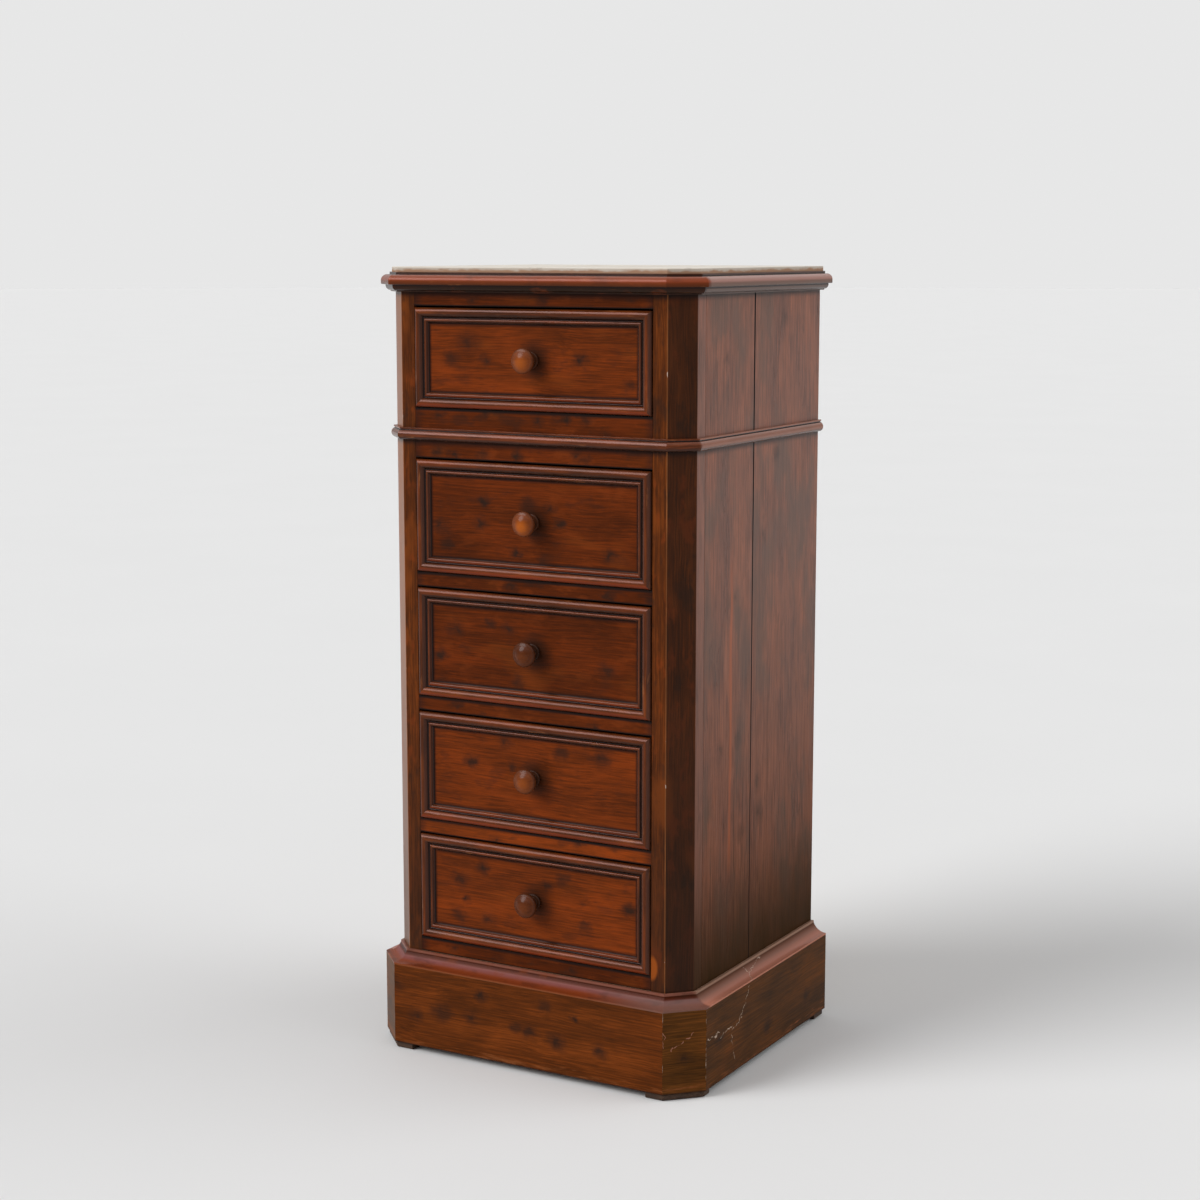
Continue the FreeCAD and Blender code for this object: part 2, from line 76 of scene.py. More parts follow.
# Profiles, in millimetres out from the case or the drawer front and up from their base.
# A step of two values is a line's end, one of four an arc's middle and end.
CORNICE = [
    (0, 0), (6.5, 0), (6.5, 1.5), (11.1, 3.4, 13.0, 8.0), (13.0, 9.5), (17.8, 9.5),
    (18.65, 9.85, 19.0, 10.7), (19.0, 15.7), (16.22, 20.86, 9.5, 23.0), (7.5, 23.0), (7.5, 26.5),
    (5.0, 26.5), (5.0, 18.5), (0, 18.5),
]
WAIST = [
    (0, 0), (3.6, 0), (8.0, 6.6, 3.6, 13.2), (3.6, 14.4), (4.8, 14.4), (4.8, 16.6), (0, 16.6),
]
COVE = [
    (0, 0), (24.5, 0), (24.5, 2.4), (23.2, 2.4), (11.68, 6.58, 4.5, 16.5), (4.5, 19.0), (0, 19.0),
]
FRAME_MOULDING = [
    (0, 0), (0, 4.0), (6.1, 8.2, 12.2, 4.0), (13.4, 2.6), (14.6, 2.6), (17.0, 4.9, 19.4, 2.6),
    (21.5, 0.6), (21.5, 0),
]
FRAME_WIDTH = FRAME_MOULDING[-1][0] * MM
# Turned shapes, in millimetres: radius, and reach along the axis
KNOB = [
    (0.0, 0.0), (10.8, 0.0), (12.0, 2.3, 10.8, 4.6), (7.7, 4.6), (6.5, 10.55, 7.7, 16.5),
    (13.5, 18.5), (17.2, 22.5, 13.5, 26.5), (6.95, 30.25, 0.0, 31.5),
]
NAIL_HEAD = [(3.0, 0.0), (2.7, 0.40), (1.6, 0.64), (0.5, 0.70)]
# Girth from the frame moulding's outer base to its dark arris with a painted shadow line, and to the foot
# of its inner slope
FRAME_ARRIS = 5.0 * MM
FRAME_FILLET = 31.2 * MM
# The lengths of a moulding lie this far apart in the stored grain, along it and in depth
RUN_SHIFT = 0.83
RUN_DEPTH = 0.37
STATION_PITCH = 20 * MM
ARC_CHORDS = 12
KNOB_SEGMENTS = 72
NAIL_SEGMENTS = 14
# Easing of the mouldings' and knobs' corners, and the radius of a knob's flat tip, in millimetres
MOULDING_EASE = 0.35
KNOB_EASE = 0.3
KNOB_CORE = 0.05
# Corners of an outline that are wider than this aren't eased
SMOOTH_CORNER = math.radians(150)
# Edges that turn by more than these stay sharp on the meshes, and are eased on the solids
CREASE_ANGLE = math.radians(40)
BEVEL_ANGLE = math.radians(30)
# Easing of the solids' edges
BOARD_EASE = 0.5 * MM
POST_EASE = 0.8 * MM
BACK_EASE = 1.2 * MM
# Nails on the back, in millimetres: heights on both edges, how far in, and X of those in the case bottom
NAIL_LEVELS = range(90, 1060, 120)
NAIL_INSET = 5
NAIL_LINE = range(-180, 190, 60)

# Wood tones, from the dark to the light of the grain
FRONT_TONES = ((0.07, 0.0145, 0.0026), (0.125, 0.023, 0.003), (0.195, 0.033, 0.0038))
POST_TONES = ((0.042, 0.0115, 0.0032), (0.085, 0.0205, 0.0036), (0.18, 0.042, 0.0055))
# The sides' tones, and the posts' flanks that match them, are paler and greyer than the wood: partly a
# painted reflection
SIDE_TONES = ((0.105, 0.04, 0.025), (0.205, 0.073, 0.041), (0.3, 0.105, 0.057))
FLANK_TONES = ((0.105, 0.049, 0.034), (0.19, 0.08, 0.053), (0.27, 0.108, 0.07))
PLINTH_TONES = ((0.05, 0.014, 0.003), (0.1, 0.024, 0.0038), (0.185, 0.042, 0.006))
PLINTH_SIDE_TONES = ((0.031, 0.012, 0.0026), (0.069, 0.024, 0.0044), (0.13, 0.04, 0.007))
TRIM_TONES = ((0.04, 0.0105, 0.0024), (0.085, 0.019, 0.0035), (0.17, 0.034, 0.0055))
CORNICE_TONES = ((0.11, 0.02, 0.005), (0.205, 0.036, 0.008), (0.31, 0.064, 0.012))
COVE_TONES = ((0.08, 0.018, 0.008), (0.15, 0.032, 0.014), (0.26, 0.058, 0.02))
KNOB_TONES = ((0.08, 0.019, 0.005), (0.165, 0.037, 0.008), (0.25, 0.06, 0.011))
INNER_TONES = ((0.19, 0.1, 0.045), (0.33, 0.195, 0.095), (0.46, 0.3, 0.165))
FOOT_TONES = ((0.02, 0.012, 0.008), (0.045, 0.024, 0.015), (0.09, 0.05, 0.03))
# What lies over the grain: knots, patches, dirt, wear, scratches, painted shade, and painted reflections
# and glow
# Dark tone of the knots, also used for painted shade
KNOT_AND_SHADE_TONE = (0.019, 0.0105, 0.007, 1)
AMBER_TONE = (0.26, 0.06, 0.008, 1)
BLOTCH_TONE = (0.19, 0.036, 0.0055, 1)
# Dark tone for dirt, also used for painted shade
DIRT_AND_SHADE_TONE = (0.012, 0.0075, 0.0065, 1)
DUST_TONE = (0.12, 0.07, 0.04, 1)
WORN_TONE = (0.33, 0.115, 0.035, 1)
SCUFF_TONE = (0.215, 0.066, 0.02, 1)
SPECK_TONE = (0.62, 0.5, 0.42, 1)
# Pale painted reflection on the left cant
LEFT_CANT_REFLECTION_TONE = (0.262, 0.098, 0.038, 1)
# Painted shade on the sides towards the floor
LOW_SIDE_SHADE_TONE = (0.026, 0.0125, 0.003, 1)
STREAK_TONE = (0.42, 0.1, 0.03, 1)
# Paler tone of the trim on the case's sides: a painted reflection
TRIM_SIDE_REFLECTION_TONE = (0.3, 0.13, 0.085, 1)
COVE_CORNER_TONE = (0.15, 0.096, 0.084, 1)
# Painted shade, dull and grey, on the drawer frames' upright faces
FRAME_UPRIGHT_SHADE_TONE = (0.046, 0.026, 0.02, 1)
# Painted orange reflection under the drawer frames' bottom lengths
FRAME_UNDER_REFLECTION_TONE = (0.26, 0.036, 0.005, 1)
# Painted amber glow on a knob's face
KNOB_GLOW_TONE = (0.42, 0.096, 0.008, 1)
KNOB_RIM_TONE = (0.06, 0.02, 0.009, 1)
SCRATCH_TONE = (0.46, 0.34, 0.26, 1)
PALE_HAIR_TONE = (0.33, 0.14, 0.092, 1)
DULL_TONE = (0.085, 0.058, 0.044, 1)
TRIM_SHEEN = (1.0, 0.6, 0.54, 1)
# Iron, stone and floor
IRON_TONES = ((0.03, 0.022, 0.018), (0.07, 0.04, 0.026), (0.15, 0.065, 0.03))
STONE_TONES = ((0.59, 0.53, 0.45), (0.69, 0.64, 0.57), (0.73, 0.7, 0.64))
VEIN_TONE = (0.4, 0.36, 0.32, 1)
STONE_EDGE_TONE = (0.4, 0.33, 0.26, 1)
STAIN_TONE = (0.32, 0.152, 0.072, 1)
FLOOR_TONES = ((0.785, 0.785, 0.785), (0.795, 0.795, 0.795))
# Tones up the cove, painted highlights, reflection and shade: orange or pale above the arris, dark under
# the fillet
COVE_FRONT = (
    (0.00, (0.215, 0.074, 0.03)), (0.15, (0.185, 0.033, 0.007)), (0.26, (0.2, 0.042, 0.016)),
    (0.4, (0.2, 0.062, 0.054)), (0.52, (0.2, 0.07, 0.062)), (0.6, (0.1, 0.025, 0.016)),
    (0.7, (0.056, 0.01, 0.003)), (0.82, (0.038, 0.006, 0.001)), (0.88, (0.2, 0.074, 0.05)))
COVE_SIDE = (
    (0.00, (0.42, 0.166, 0.105)), (0.22, (0.41, 0.16, 0.108)), (0.45, (0.235, 0.108, 0.076)),
    (0.64, (0.145, 0.06, 0.037)), (0.8, (0.072, 0.024, 0.01)), (0.88, (0.27, 0.155, 0.105)))
# Tones up the cornice, painted light and shade: nearly black painted shade in the undercut, red with
# painted highlights on the upper round
CORNICE_FRONT = (
    (0.00, (0.016, 0.009, 0.0045)), (0.34, (0.014, 0.008, 0.004)), (0.4, (0.07, 0.018, 0.0045)),
    (0.54, (0.135, 0.028, 0.007)), (0.62, (0.23, 0.044, 0.014)), (0.84, (0.19, 0.038, 0.011)),
    (0.89, (0.03, 0.012, 0.006)))
CORNICE_SIDE = (
    (0.00, (0.13, 0.092, 0.076)), (0.06, (0.05, 0.034, 0.027)), (0.24, (0.12, 0.078, 0.064)),
    (0.35, (0.05, 0.034, 0.027)), (0.42, (0.135, 0.085, 0.066)), (0.54, (0.17, 0.09, 0.068)),
    (0.64, (0.36, 0.18, 0.145)), (0.84, (0.33, 0.17, 0.135)), (0.89, (0.09, 0.055, 0.045)))

# Knots, in millimetres: place along X, height above the floor, radius
KNOTS = {
    "drawer_1_front": [(-100, 1000, 13), (-127, 978, 9), (-72, 976, 7), (75, 979, 8), (150, 950, 7)],
    "drawer_2_front": [
        (-148, 751, 8), (-135, 724, 7), (-82, 757, 8), (-76, 787, 7), (-8, 788, 9), (27, 782, 7),
        (43, 763, 7), (20, 715, 7), (-25, 718, 6), (118, 725, 8)],
    "drawer_3_front": [
        (-122, 608, 10), (-70, 620, 7), (-40, 615, 8), (-150, 570, 8), (-25, 543, 8), (115, 570, 10)],
    "drawer_4_front": [
        (-45, 457, 8), (44, 452, 8), (105, 452, 12), (-100, 424, 9), (-33, 424, 6)],
    "drawer_5_front": [
        (-120, 253, 10), (-122, 201, 9), (-73, 202, 8), (-82, 275, 8), (48, 276, 8), (20, 262, 9),
        (-112, 228, 5), (82, 215, 7), (150, 248, 8)],
    "waist_rail": [
        (-145, 898, 7), (-70, 904, 6), (10, 898, 7), (55, 902, 6), (85, 903, 7), (-150, 850, 8),
        (-120, 848, 6), (-75, 850, 7), (-20, 850, 7), (70, 855, 7), (84, 850, 6)],
    "drawer_rail_2": [(-33, 674, 8), (120, 671, 5)],
    "drawer_rail_3": [(95, 494, 7), (-120, 502, 5)],
    "drawer_rail_4": [(-60, 318, 6), (70, 333, 5)],
    "top_rail": [(-90, 1056, 6), (20, 1056, 7)],
    "bottom_rail": [(-130, 152, 6), (60, 150, 6)],
    "plinth_front": [
        (-178, 54, 9), (-135, 65, 12), (-85, 66, 9), (-70, 100, 7), (-13, 64, 8), (8, 62, 10),
        (52, 55, 11), (33, 104, 8), (80, 92, 5), (120, 52, 9), (-215, 96, 12)],
}
# Knots of both sides, of the plinth's sides and of its cants: place along the board, height, radius
SIDE_KNOTS = [
    (-45, 661, 6), (-25, 328, 10), (28, 390, 10), (35, 345, 11), (-35, 462, 9), (-85, 455, 9),
    (40, 735, 8), (100, 1030, 9), (80, 845, 9), (-75, 980, 10)]
PLINTH_SIDE_KNOTS = [(-130, 70, 10), (20, 44, 9), (150, 50, 10)]
PLINTH_CANT_KNOTS = [(30, 60, 8)]
# A knot reaches further along the grain than across it, by 1 over this
KNOT_SQUEEZE = 0.8
# Step, as a share of the whole, that spreads the knots' depths evenly
GOLDEN_STEP = 0.618
# The noises don't use their fourth dimension
NO_TIME = 0.0

# Pale scratches on the plinth's right side and its right cant: start and end, along the board and height
SIDE_SCRATCHES = [
    ((-40, 119), (-55, 95)), ((-55, 95), (-62, 84)), ((-168, 78), (-130, 80)), ((-130, 72), (-92, 76)),
    ((-92, 70), (-64, 84)), ((-96, 64), (-90, 50)), ((-88, 42), (-84, 28))]
CANT_SCRATCHES = [((14, 72), (45, 92)), ((2, 96), (3, 74))]
# Scratches on the cove's right side: behind the case's front corner, and girth from the inner lower edge
COVE_SCRATCHES = [
    ((125, 26), (132, 33)), ((132, 33), (158, 43)), ((158, 43), (192, 51)), ((144, 38), (140, 50))]
PLINTH_SCRATCH_WIDTH = 0.9 * MM
COVE_SCRATCH_WIDTH = 0.8 * MM

# How light each board is against the tones of its kind
LIGHTNESS = {
    "drawer_1_front": 1.08, "drawer_2_front": 0.76, "drawer_3_front": 0.72, "drawer_4_front": 1.05,
    "drawer_5_front": 1.15, "top_rail": 0.66, "waist_rail": 0.72, "drawer_rail_2": 0.60,
    "drawer_rail_3": 0.74, "drawer_rail_4": 1.38, "bottom_rail": 0.62,
}
PLINTH_CANT_LIGHTNESS = 1.35
# How light each drawer's knob is, and how strong the painted glow on its face is
KNOB_LOOKS = {1: (0.95, 0.55), 2: (1.00, 0.85), 3: (0.48, 0.10), 4: (0.78, 0.30), 5: (0.56, 0.10)}
# Each post's cant: its tone, a pale painted reflection on the left and painted shade on the right, how much
# of that there is, and its shine beyond the rest of the post
CANT_LOOKS = {"left_post": (LEFT_CANT_REFLECTION_TONE, 0.75, 0.23), "right_post": (KNOT_AND_SHADE_TONE, 0.55, 0.0)}
POST_SHEEN = 0.06
# The sides darken towards the floor, a painted shade: from a height, down to another, and by how much
LOW_SIDE_STEPS = ((1.0, 0.13, 0.28), (0.34, 0.14, 0.85))
# How far down the painted shade under the cornice and the waist bead reaches
SHADE_REACH = 10.0 * MM
# Relief at which the darkening in a moulding's hollows starts and is full
QUIRK_RELIEF = (-0.06, -0.30)
COVE_RELIEF = (-0.25, -0.50)
# An amber patch low on the right stile, and a red streak up the sides
AMBER_PATCH_X = 186 * MM
AMBER_PATCH_Z = 174 * MM
SIDE_STREAK_Y = -57 * MM
# The painted shadow round a knob and the painted glow on its face lie a little off its axis
KNOB_SHADOW_X = 4 * MM
KNOB_GLOW_X = 1 * MM
KNOB_GLOW_DROP = 4 * MM
# Shift of a piece's grain for each unit of its seed, and of a back board's for its number
SEED_STEP = (1.37, 0.71, 2.11)
BACK_STEP = (1.7, 0.31)

# Stage, light and camera
FLOOR_RADIUS = 60.0
FLOOR_SIDES = 96
WORLD_LIGHT = 0.42
WORLD_BACKGROUND = 0.80
WORLD_SHEEN = (0.50, 1.9)
# Name, place, strength, and softness as the spread of a disc in degrees
LAMPS = (("key", (-2.2, -2.9, 2.6), 2.2, 35), ("fill", (3.0, 1.5, 2.0), 1.0, 60))
CAMERA_PLACE = (1.58157, -2.78772, 1.12848)
CAMERA_TILT = math.radians(81.20)
CAMERA_TURN = math.radians(29.59)
CAMERA_LENS = 68.71
CAMERA_SENSOR = 36.0


class Tree:
    """The nodes of a material or a world. Values are plain numbers or other nodes' outputs."""

    def __init__(self, owner):
        owner.use_nodes = True
        self.tree = owner.node_tree
        self.tree.nodes.clear()

    def node(self, kind, *values, **settings):
        """A node with the settings, whose first inputs get the values."""
        made = self.tree.nodes.new("ShaderNode" + kind)
        for key, value in settings.items():
            setattr(made, key, value)
        for socket, value in zip(made.inputs, values):
            self.feed(socket, value)
        return made

    def feed(self, socket, value):
        """Links an output to the socket, or sets a plain value on it."""
        if isinstance(value, bpy.types.NodeSocket):
            self.tree.links.new(value, socket)
        else:
            socket.default_value = value

    def math(self, operation, *values, clamp=False):
        return self.node("Math", *values, operation=operation, use_clamp=clamp).outputs[0]

    def times(self, first, second, clamp=False):
        return self.math("MULTIPLY", first, second, clamp=clamp)

    def minus(self, first, second):
        return self.math("SUBTRACT", first, second)

    def scaled(self, value, factor, start):
        """The start plus the value times a factor."""
        return self.math("MULTIPLY_ADD", value, factor, start)

    def swing(self, noise, factor, middle):
        """The middle plus a noise's swing about 0.5 times a factor."""
        return self.scaled(self.minus(noise, 0.5), factor, middle)

    def off(self, value, middle):
        """How far the value is from the middle."""
        return self.math("ABSOLUTE", self.minus(value, middle))

    def band(self, value, low, high):
        """A smooth step from 0 at low to 1 at high."""
        return self.node("MapRange", value, low, high, interpolation_type="SMOOTHSTEP").outputs[0]

    def near(self, distance, reach, full):
        """1 up to the full distance, 0 beyond the reach, both in millimetres."""
        return self.band(distance, reach * MM, full * MM)

    def vector(self, operation, *values):
        made = self.node("VectorMath", *values, operation=operation)
        is_number = operation in ("DISTANCE", "DOT_PRODUCT")
        return made.outputs["Value" if is_number else "Vector"]

    def flat(self, place, squeeze=1.0):
        """The place without its depth, squeezed along."""
        return self.vector("MULTIPLY", place, (squeeze, 1, 0))

    def axes(self, place):
        return self.node("SeparateXYZ", place).outputs

    def joined(self, *values):
        return self.node("CombineXYZ", *values).outputs[0]


class Surface(Tree):
    """One procedural material and its shader."""

    def __init__(self, name, specular):
        self.material = bpy.data.materials.new(name)
        super().__init__(self.material)
        self.shader = self.node("BsdfPrincipled")
        self.node("OutputMaterial", self.shader.outputs[0])
        self.put("Specular IOR Level", specular)

    def put(self, name, value):
        """Feeds one of the shader's inputs."""
        self.feed(self.shader.inputs[name], value)

    def noise(self, place, stretch, detail=3.0, roughness=0.55):
        """Noise from 0 to 1 whose features are 1/stretch metres long each way."""
        stretched = self.vector("MULTIPLY", place, stretch)
        return self.node("TexNoise", stretched, NO_TIME, 1.0, detail, roughness).outputs["Fac"]

    def drift(self, place, scale, detail):
        """Three noises from 0 to 1 as one vector, with features 1/scale metres long."""
        return self.node("TexNoise", place, NO_TIME, scale, detail).outputs["Color"]

    def ramp(self, factor, places, tones):
        """A colour between the tones that stand at places along the factor."""
        made = self.node("ValToRGB", factor)
        elements = made.color_ramp.elements
        while len(elements) < len(tones):
            elements.new(0.5)
        for element, place, tone in zip(elements, places, tones):
            element.position = place
            element.color = (*tone, 1)
        return made.outputs[0]

    def blend(self, factor, first, second):
        made = self.node("Mix", data_type="RGBA")
        self.feed(made.inputs[0], factor)
        self.feed(made.inputs[6], first)
        self.feed(made.inputs[7], second)
        return made.outputs[2]

    def own_place(self):
        """The point's place in its piece, which a drawer takes along."""
        return self.node("TexCoord").outputs["Object"]

    def board_place(self, order):
        """(along the grain, across it, depth) from the piece's own axes, such as "XZY"."""
        axes = self.axes(self.own_place())
        return self.joined(*[axes["XYZ".index(letter)] for letter in order])

    def normal(self):
        return self.node("NewGeometry").outputs["Normal"]

    def facing(self, direction):
        """1 where the surface faces the direction, 0 where it turns away."""
        return self.band(self.vector("DOT_PRODUCT", self.normal(), direction), 0.80, 0.97)

    def stored(self, name, output):
        """A value that is stored in the mesh."""
        return self.node("Attribute", attribute_name=name).outputs[output]

    def bump(self, height, strength):
        made = self.node("Bump")
        made.inputs["Strength"].default_value = strength
        made.inputs["Distance"].default_value = 0.4 * MM
        self.feed(made.inputs["Height"], height)
        self.put("Normal", made.outputs[0])


class Wood(Surface):
    """Polished knotty wood: streaks and fibres along the grain, amber patches, knots and wear."""

    def __init__(self, name, tones, place, seed, specular=0.06, roughness=0.36, amber=0.0, figure=1.0):
        super().__init__(name, specular)
        self.roughness = roughness
        self.place = place(self)
        self.moved = self.vector("ADD", self.place, tuple(seed * step for step in SEED_STEP))
        waviness = self.noise(self.moved, (6, 14, 14), 2.0)
        self.bend = self.swing(waviness, 0.014, 0.0)
        self.grain = self.vector("ADD", self.moved, self.joined(0.0, self.bend, self.bend))
        self.broad = self.noise(self.grain, (8, 24, 24))
        self.lines = self.noise(self.grain, (11, 420, 420), roughness=0.65)
        self.fibre = self.noise(self.grain, (40, 1300, 1300), 2.0)
        self.tone = 0.5
        for layer, weight in ((self.broad, 0.9), (self.lines, 0.95), (self.fibre, 0.5)):
            self.tone = self.swing(layer, weight * figure, self.tone)
        self.colour = self.toned(tones)
        patches = self.apart(self.grain, (3.1, 5.3, 1.7), (9, 22, 22), 2.0)
        self.cover(self.times(self.band(patches, 0.56, 0.74), amber), AMBER_TONE)

    def apart(self, place, shift, stretch, detail=3.0, roughness=0.55):
        """Noise read a shift away, apart from the other layers."""
        return self.noise(self.vector("ADD", place, shift), stretch, detail, roughness)

    def toned(self, tones):
        """The grain drawn in three tones."""
        return self.ramp(self.tone, (0.22, 0.5, 0.80), tones)

    def cover(self, mask, tone):
        self.colour = self.blend(mask, self.colour, tone)

    def wander(self, scale, detail, reach):
        """The place pushed to and fro by up to half the reach, for uneven marks."""
        push = self.vector("SUBTRACT", self.drift(self.moved, scale, detail), (0.5, 0.5, 0.5))
        return self.vector("ADD", self.place, self.vector("MULTIPLY", push, reach))

    def knots(self, places, strength=0.80):
        """Soft dark knots, most with a darker heart: along and across the grain, and radius."""
        here = self.flat(self.wander(75.0, 3.0, (26 * MM, 16 * MM, 0)), KNOT_SQUEEZE)
        halo, heart = 0.0, 0.0
        for number, (along, across, radius) in enumerate(places):
            far = self.vector("DISTANCE", here, (along * MM * KNOT_SQUEEZE, across * MM, 0))
            depth = 0.55 + 0.45 * (number * GOLDEN_STEP % 1.0)
            soft = self.times(self.near(far, radius * 1.8, radius * 0.1), depth)
            halo = self.math("MAXIMUM", halo, soft)
            if number % 3 != 1:
                heart = self.math("MAXIMUM", heart, self.near(far, radius * 0.7, radius * 0.1))
        self.cover(self.times(halo, strength), KNOT_AND_SHADE_TONE)
        self.cover(self.times(heart, strength * 0.6), KNOT_AND_SHADE_TONE)

    def mottle(self, amount, mask=1.0):
        """Dark and red blotches of a few centimetres where the mask is 1."""
        blotch = self.apart(self.moved, (2.3, 6.1, 0.7), (22, 45, 45), roughness=0.6)
        self.shade(self.times(self.band(blotch, 0.54, 0.70), mask), amount, KNOT_AND_SHADE_TONE)
        self.shade(self.times(self.band(blotch, 0.46, 0.32), mask), amount, BLOTCH_TONE)

    def strokes(self, lines, width, tone):
        """Thin broken lines on the right half, between two points each, along and across the grain."""
        here = self.flat(self.wander(90.0, 2.0, (16 * MM, 16 * MM, 0)))
        mask = 0.0
        for start, end in lines:
            first = Vector((*start, 0)) * MM
            reach = Vector((*end, 0)) * MM - first
            gap = self.vector("SUBTRACT", here, first)
            along = self.vector("DOT_PRODUCT", gap, reach)
            share = self.times(along, 1 / reach.length_squared, clamp=True)
            far = self.vector("DISTANCE", gap, self.vector("MULTIPLY", share, reach))
            mask = self.math("MAXIMUM", mask, self.band(far, width, width * 0.3))
        gaps = self.noise(self.moved, (190, 190, 190))
        broken = self.times(self.band(gaps, 0.36, 0.56), 0.9)
        right = self.band(self.axes(self.own_place())[0], 0.0, 10 * MM)
        self.cover(self.times(self.times(mask, broken), right), tone)

    def shade(self, mask, amount=1.0, tone=DIRT_AND_SHADE_TONE):
        """A tone, dark dirt and painted shade if none is given, where the mask is 1, broken up a little by
        the grain.
        """
        strength = self.scaled(self.broad, 0.6, amount - 0.3)
        self.cover(self.times(mask, strength, clamp=True), tone)

    def wear(self, mask, tone, low, high, stretch):
        """Rubbed or chipped wood where the mask is 1 and a rough pattern breaks through."""
        pattern = self.apart(self.moved, (7.7, 2.9, 4.3), stretch, 4.0, 0.65)
        raised = self.math("ADD", pattern, self.scaled(mask, 0.35, -0.35))
        self.cover(self.band(raised, low, high), tone)

    def finish(self):
        """Colour, sheen and pores on the shader."""
        pores = self.scaled(self.fibre, 0.5, self.lines)
        sheen = self.swing(self.fibre, 0.16, self.swing(self.broad, 0.22, self.roughness))
        self.put("Base Color", self.colour)
        self.put("Roughness", sheen)
        self.bump(pores, 0.16)
        return self.material


def lightened(tones, factor):
    return tuple(tuple(value * factor for value in tone) for tone in tones)


# Where the grain of a piece runs

def board(order):
    return lambda surface: surface.board_place(order)


def cant_board(surface):
    """(along, height, depth) on the plinth cants, at 45 degrees to the front."""
    x, y, z = surface.axes(surface.own_place())
    far = surface.math("ABSOLUTE", x)
    along = surface.times(surface.math("ADD", far, y), HALF_ROOT)
    depth = surface.times(surface.minus(far, y), HALF_ROOT)
    return surface.joined(along, z, depth)


def back_board(surface):
    """(height, across, depth) on the back boards, each with its own grain."""
    low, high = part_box("back_boards")
    x, y, z = surface.axes(surface.own_place())
    width = (high.x - low.x) / BACK_BOARD_COUNT
    number = surface.math("FLOOR", surface.math("DIVIDE", surface.minus(x, low.x), width))
    height = surface.scaled(number, BACK_STEP[0], z)
    across = surface.scaled(number, BACK_STEP[1], x)
    return surface.joined(height, across, y)


def piece_grain(surface):
    return surface.stored("grain", "Vector")


# Frame nodes

def dress(node, material, ease=None):
    """Gives a frame node its material, and rounds its arrises a little."""
    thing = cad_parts[node]
    for slot in thing.material_slots:
        slot.material = material
    if not ease:
        return
    weld = thing.modifiers.new("weld", "WELD")
    weld.merge_threshold = 0.01 * MM
    bevel = thing.modifiers.new("arris", "BEVEL")
    bevel.width = ease
    bevel.segments = 2
    bevel.limit_method = "ANGLE"
    bevel.angle_limit = BEVEL_ANGLE
    thing.modifiers.new("normals", "WEIGHTED_NORMAL")


# Mesh pieces

def arc_points(start, middle, end):
    """Points after start on the circle through three points."""
    ratio = (end - start) / (middle - start)
    centre = start + (middle - start) * (ratio - abs(ratio) ** 2) / (2j * ratio.imag)
    spoke = start - centre
    turn = cmath.phase((end - centre) / spoke) % (2 * math.pi)
    if cmath.phase((middle - centre) / spoke) < 0:
        turn -= 2 * math.pi
    return [centre + spoke * cmath.rect(1, turn * step / ARC_CHORDS) for step in range(1, ARC_CHORDS + 1)]


def traced(path):
    """The points of a profile's lines and arcs, as complex numbers."""
    points = [complex(*path[0])]
    for step in path[1:]:
        if len(step) == 4:
            points += arc_points(points[-1], complex(*step[:2]), complex(*step[2:]))
        else:
            points.append(complex(*step))
    return points


def neighbours(points):
    """Each point of a closed outline, between the ones before and after it."""
    return zip(points[-1:] + points[:-1], points, points[1:] + points[:1])


def eased(points, radius):
    """The closed outline with its sharp corners rounded."""
    out = []
    for before, here, after in neighbours(points):
        back = before - here
        ahead = after - here
        if abs(cmath.phase(back / ahead)) > SMOOTH_CORNER:
            out.append(here)
            continue
        reach = min(radius, abs(back) * 0.45, abs(ahead) * 0.45)
        first = here + back / abs(back) * reach
        last = here + ahead / abs(ahead) * reach
        out += [first, (first + last + here * 2) / 4, last]
    return out


def relief_of(points, window=3.0):
    """How far each point of the closed outline stands out from its surroundings, from -1 to 1."""
    area = sum((here.conjugate() * after).imag for _, here, after in neighbours(points))
    quarter_turn = -1j if area > 0 else 1j
    values = []
    for place, (before, here, after) in enumerate(neighbours(points)):
        total = 0
        for step in (-1, 1):
            walked = 0.0
            at = place
            last = here
            while walked < window:
                at = (at + step) % len(points)
                gap = points[at] - last
                last += gap * min(1.0, (window - walked) / abs(gap))
                walked += abs(gap)
            total += last - here
        outward = (after - before) / abs(after - before) * quarter_turn
        stands = -(total * outward.conjugate()).real / window
        values.append(max(-1.0, min(1.0, stands)))
    return values


def girth_of(points):
    """How far along the outline each point lies, in metres."""
    girth = [0.0]
    for here, after in zip(points, points[1:]):
        girth.append(girth[-1] + abs(after - here) * MM)
    return girth


def new_object(name, data):
    thing = bpy.data.objects.new(name, data)
    bpy.context.scene.collection.objects.link(thing)
    return thing


def new_piece(name, vertices, faces, body, nodes, material, grain=None, relief=None):
    """A mesh piece that rides on a body and stands for CAD nodes."""
    mesh = bpy.data.meshes.new(name)
    mesh.from_pydata(vertices, [], faces)
    mesh.validate()
    shape = bmesh.new()
    shape.from_mesh(mesh)
    bmesh.ops.recalc_face_normals(shape, faces=shape.faces)
    shape.to_mesh(mesh)
    shape.free()
    if grain:
        values = [value for triple in grain for value in triple]
        mesh.attributes.new("grain", "FLOAT_VECTOR", "POINT").data.foreach_set("vector", values)
    if relief:
        mesh.attributes.new("relief", "FLOAT", "POINT").data.foreach_set("value", relief)
    mesh.shade_smooth()
    mesh.set_sharp_from_angle(angle=CREASE_ANGLE)
    mesh.materials.append(material)
    thing = new_object(name, mesh)
    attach(thing, body)
    if nodes:
        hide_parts(*nodes)


